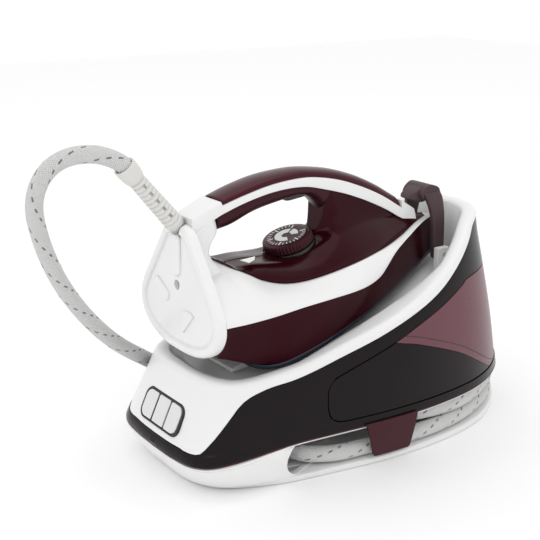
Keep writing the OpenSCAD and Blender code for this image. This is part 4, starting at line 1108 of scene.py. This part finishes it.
def heel_outline(n=120):
    """Teardrop outline seen from the heel, as evenly spaced points (y, z)."""
    half_side = [(0, 103), (18, 103.8), (34, 107), (47, 113), (56, 121), (61, 130), (62, 138), (60.5, 146),
                 (57, 153), (51, 162), (44, 171.5), (37, 181.5), (30, 191), (24.5, 199), (19, 205.6),
                 (11, 209.4), (0, 210.4)]
    c = curve(half_side, n // 2)
    return c[:-1] + [(-y, z) for y, z in reversed(c)][:-1]


def add_heel():
    """Heel cover with a rolled rim, raised fields and one screw."""
    line = heel_outline()

    def ring(x, d):
        m, out = len(line), []
        for i, (y, z) in enumerate(line):
            (ya, za), (yb, zb) = line[i - 2], line[(i + 2) % m]
            ty, tz = yb - ya, zb - za
            q = math.hypot(ty, tz)
            out.append((x, y - tz / q * d, z + ty / q * d))
        return out
    spec = [(-149.1, 0.3), (-149.1, 0), (-151, -0.2), (-153, 0), (-154.6, 0.4), (-155.8, 1.1),
            (-156.6, 2.1), (-157, 3.4), (-157.05, 6.4), (-156.9, 7.2), (-156.3, 7.7), (-155.3, 8.0),
            (-154.9, 8.3), (-155.0, 9.4), (-155.7, 10.2), (-156.0, 12)]
    rings = [ring(x, d) for x, d in spec]
    base = ring(-156.0, 12)
    for t in (0.75, 0.5, 0.25, 0.06):
        rings.append([(-156.0 - (1 - t) * 0.5, y * t, 156 + (z - 156) * t) for x, y, z in base])
    v, f = loft_data(rings)
    obj = new_object("heel_cover_shell", v, f, MAT["white"], "iron", ("heel_cover",), "white")
    cut(obj, [helper(round_bar((-160, 0, 160), (1, 0, 0), 4.2, 9.2)),
              helper(round_bar(RELIEF_AT, RELIEF_AXIS, 7.4, 40))])
    finish_edges(obj, 0.3, 48)
    # raised fields: a tilted bar, a long loop and an open arc
    c, s = math.cos(0.5), math.sin(0.5)
    pads = [[(24 + x * c - y * s, 151 + x * s + y * c) for x, y in rounded(24, 10, 4.6, 6)],
            [(x, 185 + y) for x, y in rounded(13, 34, 6.2, 8)],
            [(-17 + 13 * math.cos(q), 131 + 11 * math.sin(q)) for q in spread(-0.9, math.pi - 0.9, 16)]]
    for outline in pads:
        cy = sum(p[0] for p in outline) / len(outline)
        cz = sum(p[1] for p in outline) / len(outline)

        def raised(steps):
            return loft_data([[(x, cy + (y - cy) * t, cz + (z - cz) * t) for y, z in outline]
                    for x, t in steps])
        rise = [(-156.1 - h * 1.15, t) for h, t in ((0, 1.0), (1.0, 1.0), (1.35, 0.97), (1.5, 0.92),
                (1.5, 0.5), (1.5, 0.1))]
        p = new_object("heel_pad", *raised(rise), MAT["white"], "iron", (), "white")
        finish_edges(p, 0.15, 60)
        # a slightly darker grey ring just outside each pad paints the shade along the pad's edge
        shade_ring = [(-156.2 - h, t) for h, t in ((0, 1.06), (0.35, 1.06), (0.45, 1.03), (0.45, 0.5))]
        new_object("heel_pad_shade_ring", *raised(shade_ring), MAT["key"], "iron", (), "grey")
    v, f = loft_data(turned((-151.2, 0, 160), (-1, 0, 0), [(0, 3.6), (1.4, 3.6), (1.8, 3.2), (1.95, 2.4)],
                            40))
    screw = new_object("heel_screw_head", v, f, MAT["metal"], "iron", ("heel_screw",), "metal")
    cut(screw, [helper(box_data((-154, -0.55, 155), (-152.6, 0.55, 165)))])
    finish_edges(screw, 0.12, 40)


def dial_axis():
    """The dial leans a little further than the iron."""
    t = TILT + math.radians(4.6)
    return (-math.sin(t), 0, math.cos(t))


def add_dial():
    """Dial collar, knurled dial, plain strokes and an open ring on it."""
    c = iron(DIAL_AT)
    R = DIAL_R
    v, f = loft_data(turned(c, dial_axis(), [(0.2, R), (2.6, R + 0.1), (3.1, R - 0.2), (3.3, R - 0.9)], 96))
    col = new_object("dial_collar_ring", v, f, MAT["black"], "iron", ("dial_collar",), "black")
    finish_edges(col, 0.15, 40)

    def knurl(f01, h):
        depth = 0.035 if 4.4 < h < 10.8 else 0.0
        return 1 - depth * (0.5 + 0.5 * math.cos(2 * math.pi * 44 * f01)) ** 2
    prof_d = [(3.9, R - 2.0), (4.2, R - 0.9), (4.6, R - 0.5), (6, R - 0.5), (8, R - 0.6), (9.8, R - 0.7),
              (10.7, R - 1.0), (11.2, R - 1.7), (11.5, R - 2.8), (11.6, R - 4.2), (11.9, R - 4.6),
              (12.2, R - 5.2), (12.3, R - 7), (12.1, R - 11), (12.0, 2.0)]
    v, f = loft_data(turned(c, dial_axis(), prof_d, 528, knurl))
    d = new_object("dial_knob", v, f, MAT["grip"], "dial", ("dial",), "maroon")
    finish_edges(d, 0, 60)
    ax = Vector(dial_axis())
    side = Vector((0, 1, 0))
    up = ax.cross(side)
    for k in range(26):
        a = math.radians(-150 + k * 12)
        r0, r1, w = (R - 8.6, R - 5.6, 0.34) if k % 5 else (R - 10.5, R - 5.6, 0.62)
        rad = side * math.sin(a) + up * math.cos(a)
        tan = ax.cross(rad)
        rings = []
        for h in (12.0, 12.42):
            base = Vector(c) + ax * h
            rings.append([tuple(base + rad * r + tan * t)
                          for r, t in ((r0, -w), (r1, -w), (r1, w), (r0, w))])
        v, f = loft_data(rings)
        m = new_object("dial_mark", v, f, MAT["white"], "dial", (), "white")
        finish_edges(m, 0.1, 40)
    # bright open ring round the middle, its gap standing for the pointer
    for start, stop in ((-60, 150), (165, 230)):
        rings = []
        for i in range(25):
            a = math.radians(lerp(start, stop, i / 24))
            rad = side * math.sin(a) + up * math.cos(a)
            corners = ((4.2, 11.9), (10.4, 11.9), (10.4, 12.5), (4.2, 12.5))
            rings.append([tuple(Vector(c) + ax * h + rad * r) for r, h in corners])
        v, f = loft_data(rings)
        m = new_object("dial_arc", v, f, MAT["white"], "dial", (), "white")
        finish_edges(m, 0.12, 40)


def add_lens():
    """Pilot lamp lens on the near side of the window."""
    outline = [(-92.5, 88.2), (-78, 85.4), (-79.5, 82.6), (-85, 82.2)]
    v, f = loft_data([[iron((u, -23.0 - h, z + h * 0.25)) for u, z in outline] for h in (0, 1.2)])
    p = new_object("pilot_lens_cover", v, f, MAT["lens"], "iron", ("pilot_lens",), "white")
    finish_edges(p, 0.4, 35, 3)


RIBS, RIB_PITCH = 12, 4.15


def add_relief():
    """Ribbed sleeve that widens into a cuff round the hose; every other rib is slotted."""
    prof_r = [(3.0, 6.9), (8.0, 7.0), (8.6, 7.5)]
    z = 9.0
    for k in range(RIBS):
        r = lerp(7.5, 6.5, k / (RIBS - 1))
        prof_r += [(z, r), (z + 0.3, r + 0.35), (z + 2.3, r + 0.35), (z + 2.6, r), (z + 2.85, r - 0.8),
                   (z + 3.9, r - 0.8), (z + 4.1, r - 0.1)]
        z += RIB_PITCH
    prof_r += [(59.2, 7.4), (61, 8.0), (64, 8.6), (68, 8.95), (72, 9.1), (73.4, 9.0), (74, 8.6),
               (74.1, 7.9), (73.4, 7.25), (66, 7.2), (61, 7.15)]
    v, f = loft_data(turned(RELIEF_AT, RELIEF_AXIS, prof_r, 72))
    obj = new_object("strain_relief_sleeve", v, f, MAT["relief"], "iron", ("strain_relief",), "relief")
    tools = []
    for k in range(2, RIBS, 2):
        top = 9.0 + RIB_PITCH * k + 2.95
        for turn in (0, 180):
            m = (Matrix.Translation(RELIEF_AT) @ Matrix.Rotation(-RELIEF_LEAN, 4, "Y")
                 @ Matrix.Rotation(math.radians(turn), 4, "Z"))
            corners = ((-1.1, 4.6), (1.1, 4.6), (1.1, 12), (-1.1, 12))
            slot = [[tuple(m @ Vector((x, y, top + h))) for x, y in corners] for h in (-3.0, 0.0)]
            tools.append(helper(loft_data(slot)))
    cut(obj, tools)
    finish_edges(obj, 0, 45)


# ------------------------------------------------------------------ room
def add_floor():
    """Plain pale floor."""
    s = 3.0
    verts = [(-s, -s, 0), (s, -s, 0), (s, s, 0), (-s, s, 0)]
    mesh = bpy.data.meshes.new("floor")
    mesh.from_pydata(verts, [], [(0, 1, 2, 3)])
    obj = bpy.data.objects.new("floor", mesh)
    bpy.context.scene.collection.objects.link(obj)
    mesh.materials.append(shader("studio_floor", (0.97, 0.97, 0.97), rough=0.7, grain=0.05, bump=0.0,
            tint=0.004))


def area(name, place, size, power):
    """Rectangular softbox aimed at the middle of the object."""
    data = bpy.data.lights.new(name, "AREA")
    data.shape, data.size, data.size_y = "RECTANGLE", size[0], size[1]
    data.energy = power
    obj = bpy.data.objects.new(name, data)
    obj.location = place
    obj.rotation_mode = "QUATERNION"
    obj.rotation_quaternion = (Vector(place) - Vector((0, 0, 0.1))).to_track_quat("Z", "Y")
    bpy.context.scene.collection.objects.link(obj)


def add_lights():
    """White surroundings and three weak softboxes."""
    world = bpy.data.worlds.new("studio")
    bpy.context.scene.world = world
    world.use_nodes = True
    back = world.node_tree.nodes["Background"]
    back.inputs["Color"].default_value = (1, 1, 1, 1)
    back.inputs["Strength"].default_value = 1.0
    area("key", (-1.5, -0.5, 1.5), (0.9, 0.9), 3.2)
    area("fill", (0.7, -1.8, 0.9), (1.4, 0.8), 1.2)
    area("top", (0.2, 0.2, 1.9), (1.2, 1.2), 3.5)
    bpy.context.scene.view_settings.view_transform = "Standard"


add_camera()
MAT = make_materials()
add_hose(MAT["hose"])
slot_of = {q["node"]: q["material_slot"] for q in frame["record"]["subparts"]}
for node_name, obj in nodes.items():
    obj.data.materials.clear()
    obj.data.materials.append(MAT[slot_of[node_name]])
for add in (add_tray, add_side_shell, add_tank, add_casing, add_panel, add_clip, add_arch, add_rest,
            add_soleplate, add_skirt, add_body, add_window, add_handle, add_heel, add_dial, add_lens,
            add_relief, add_floor, add_lights):
    add()
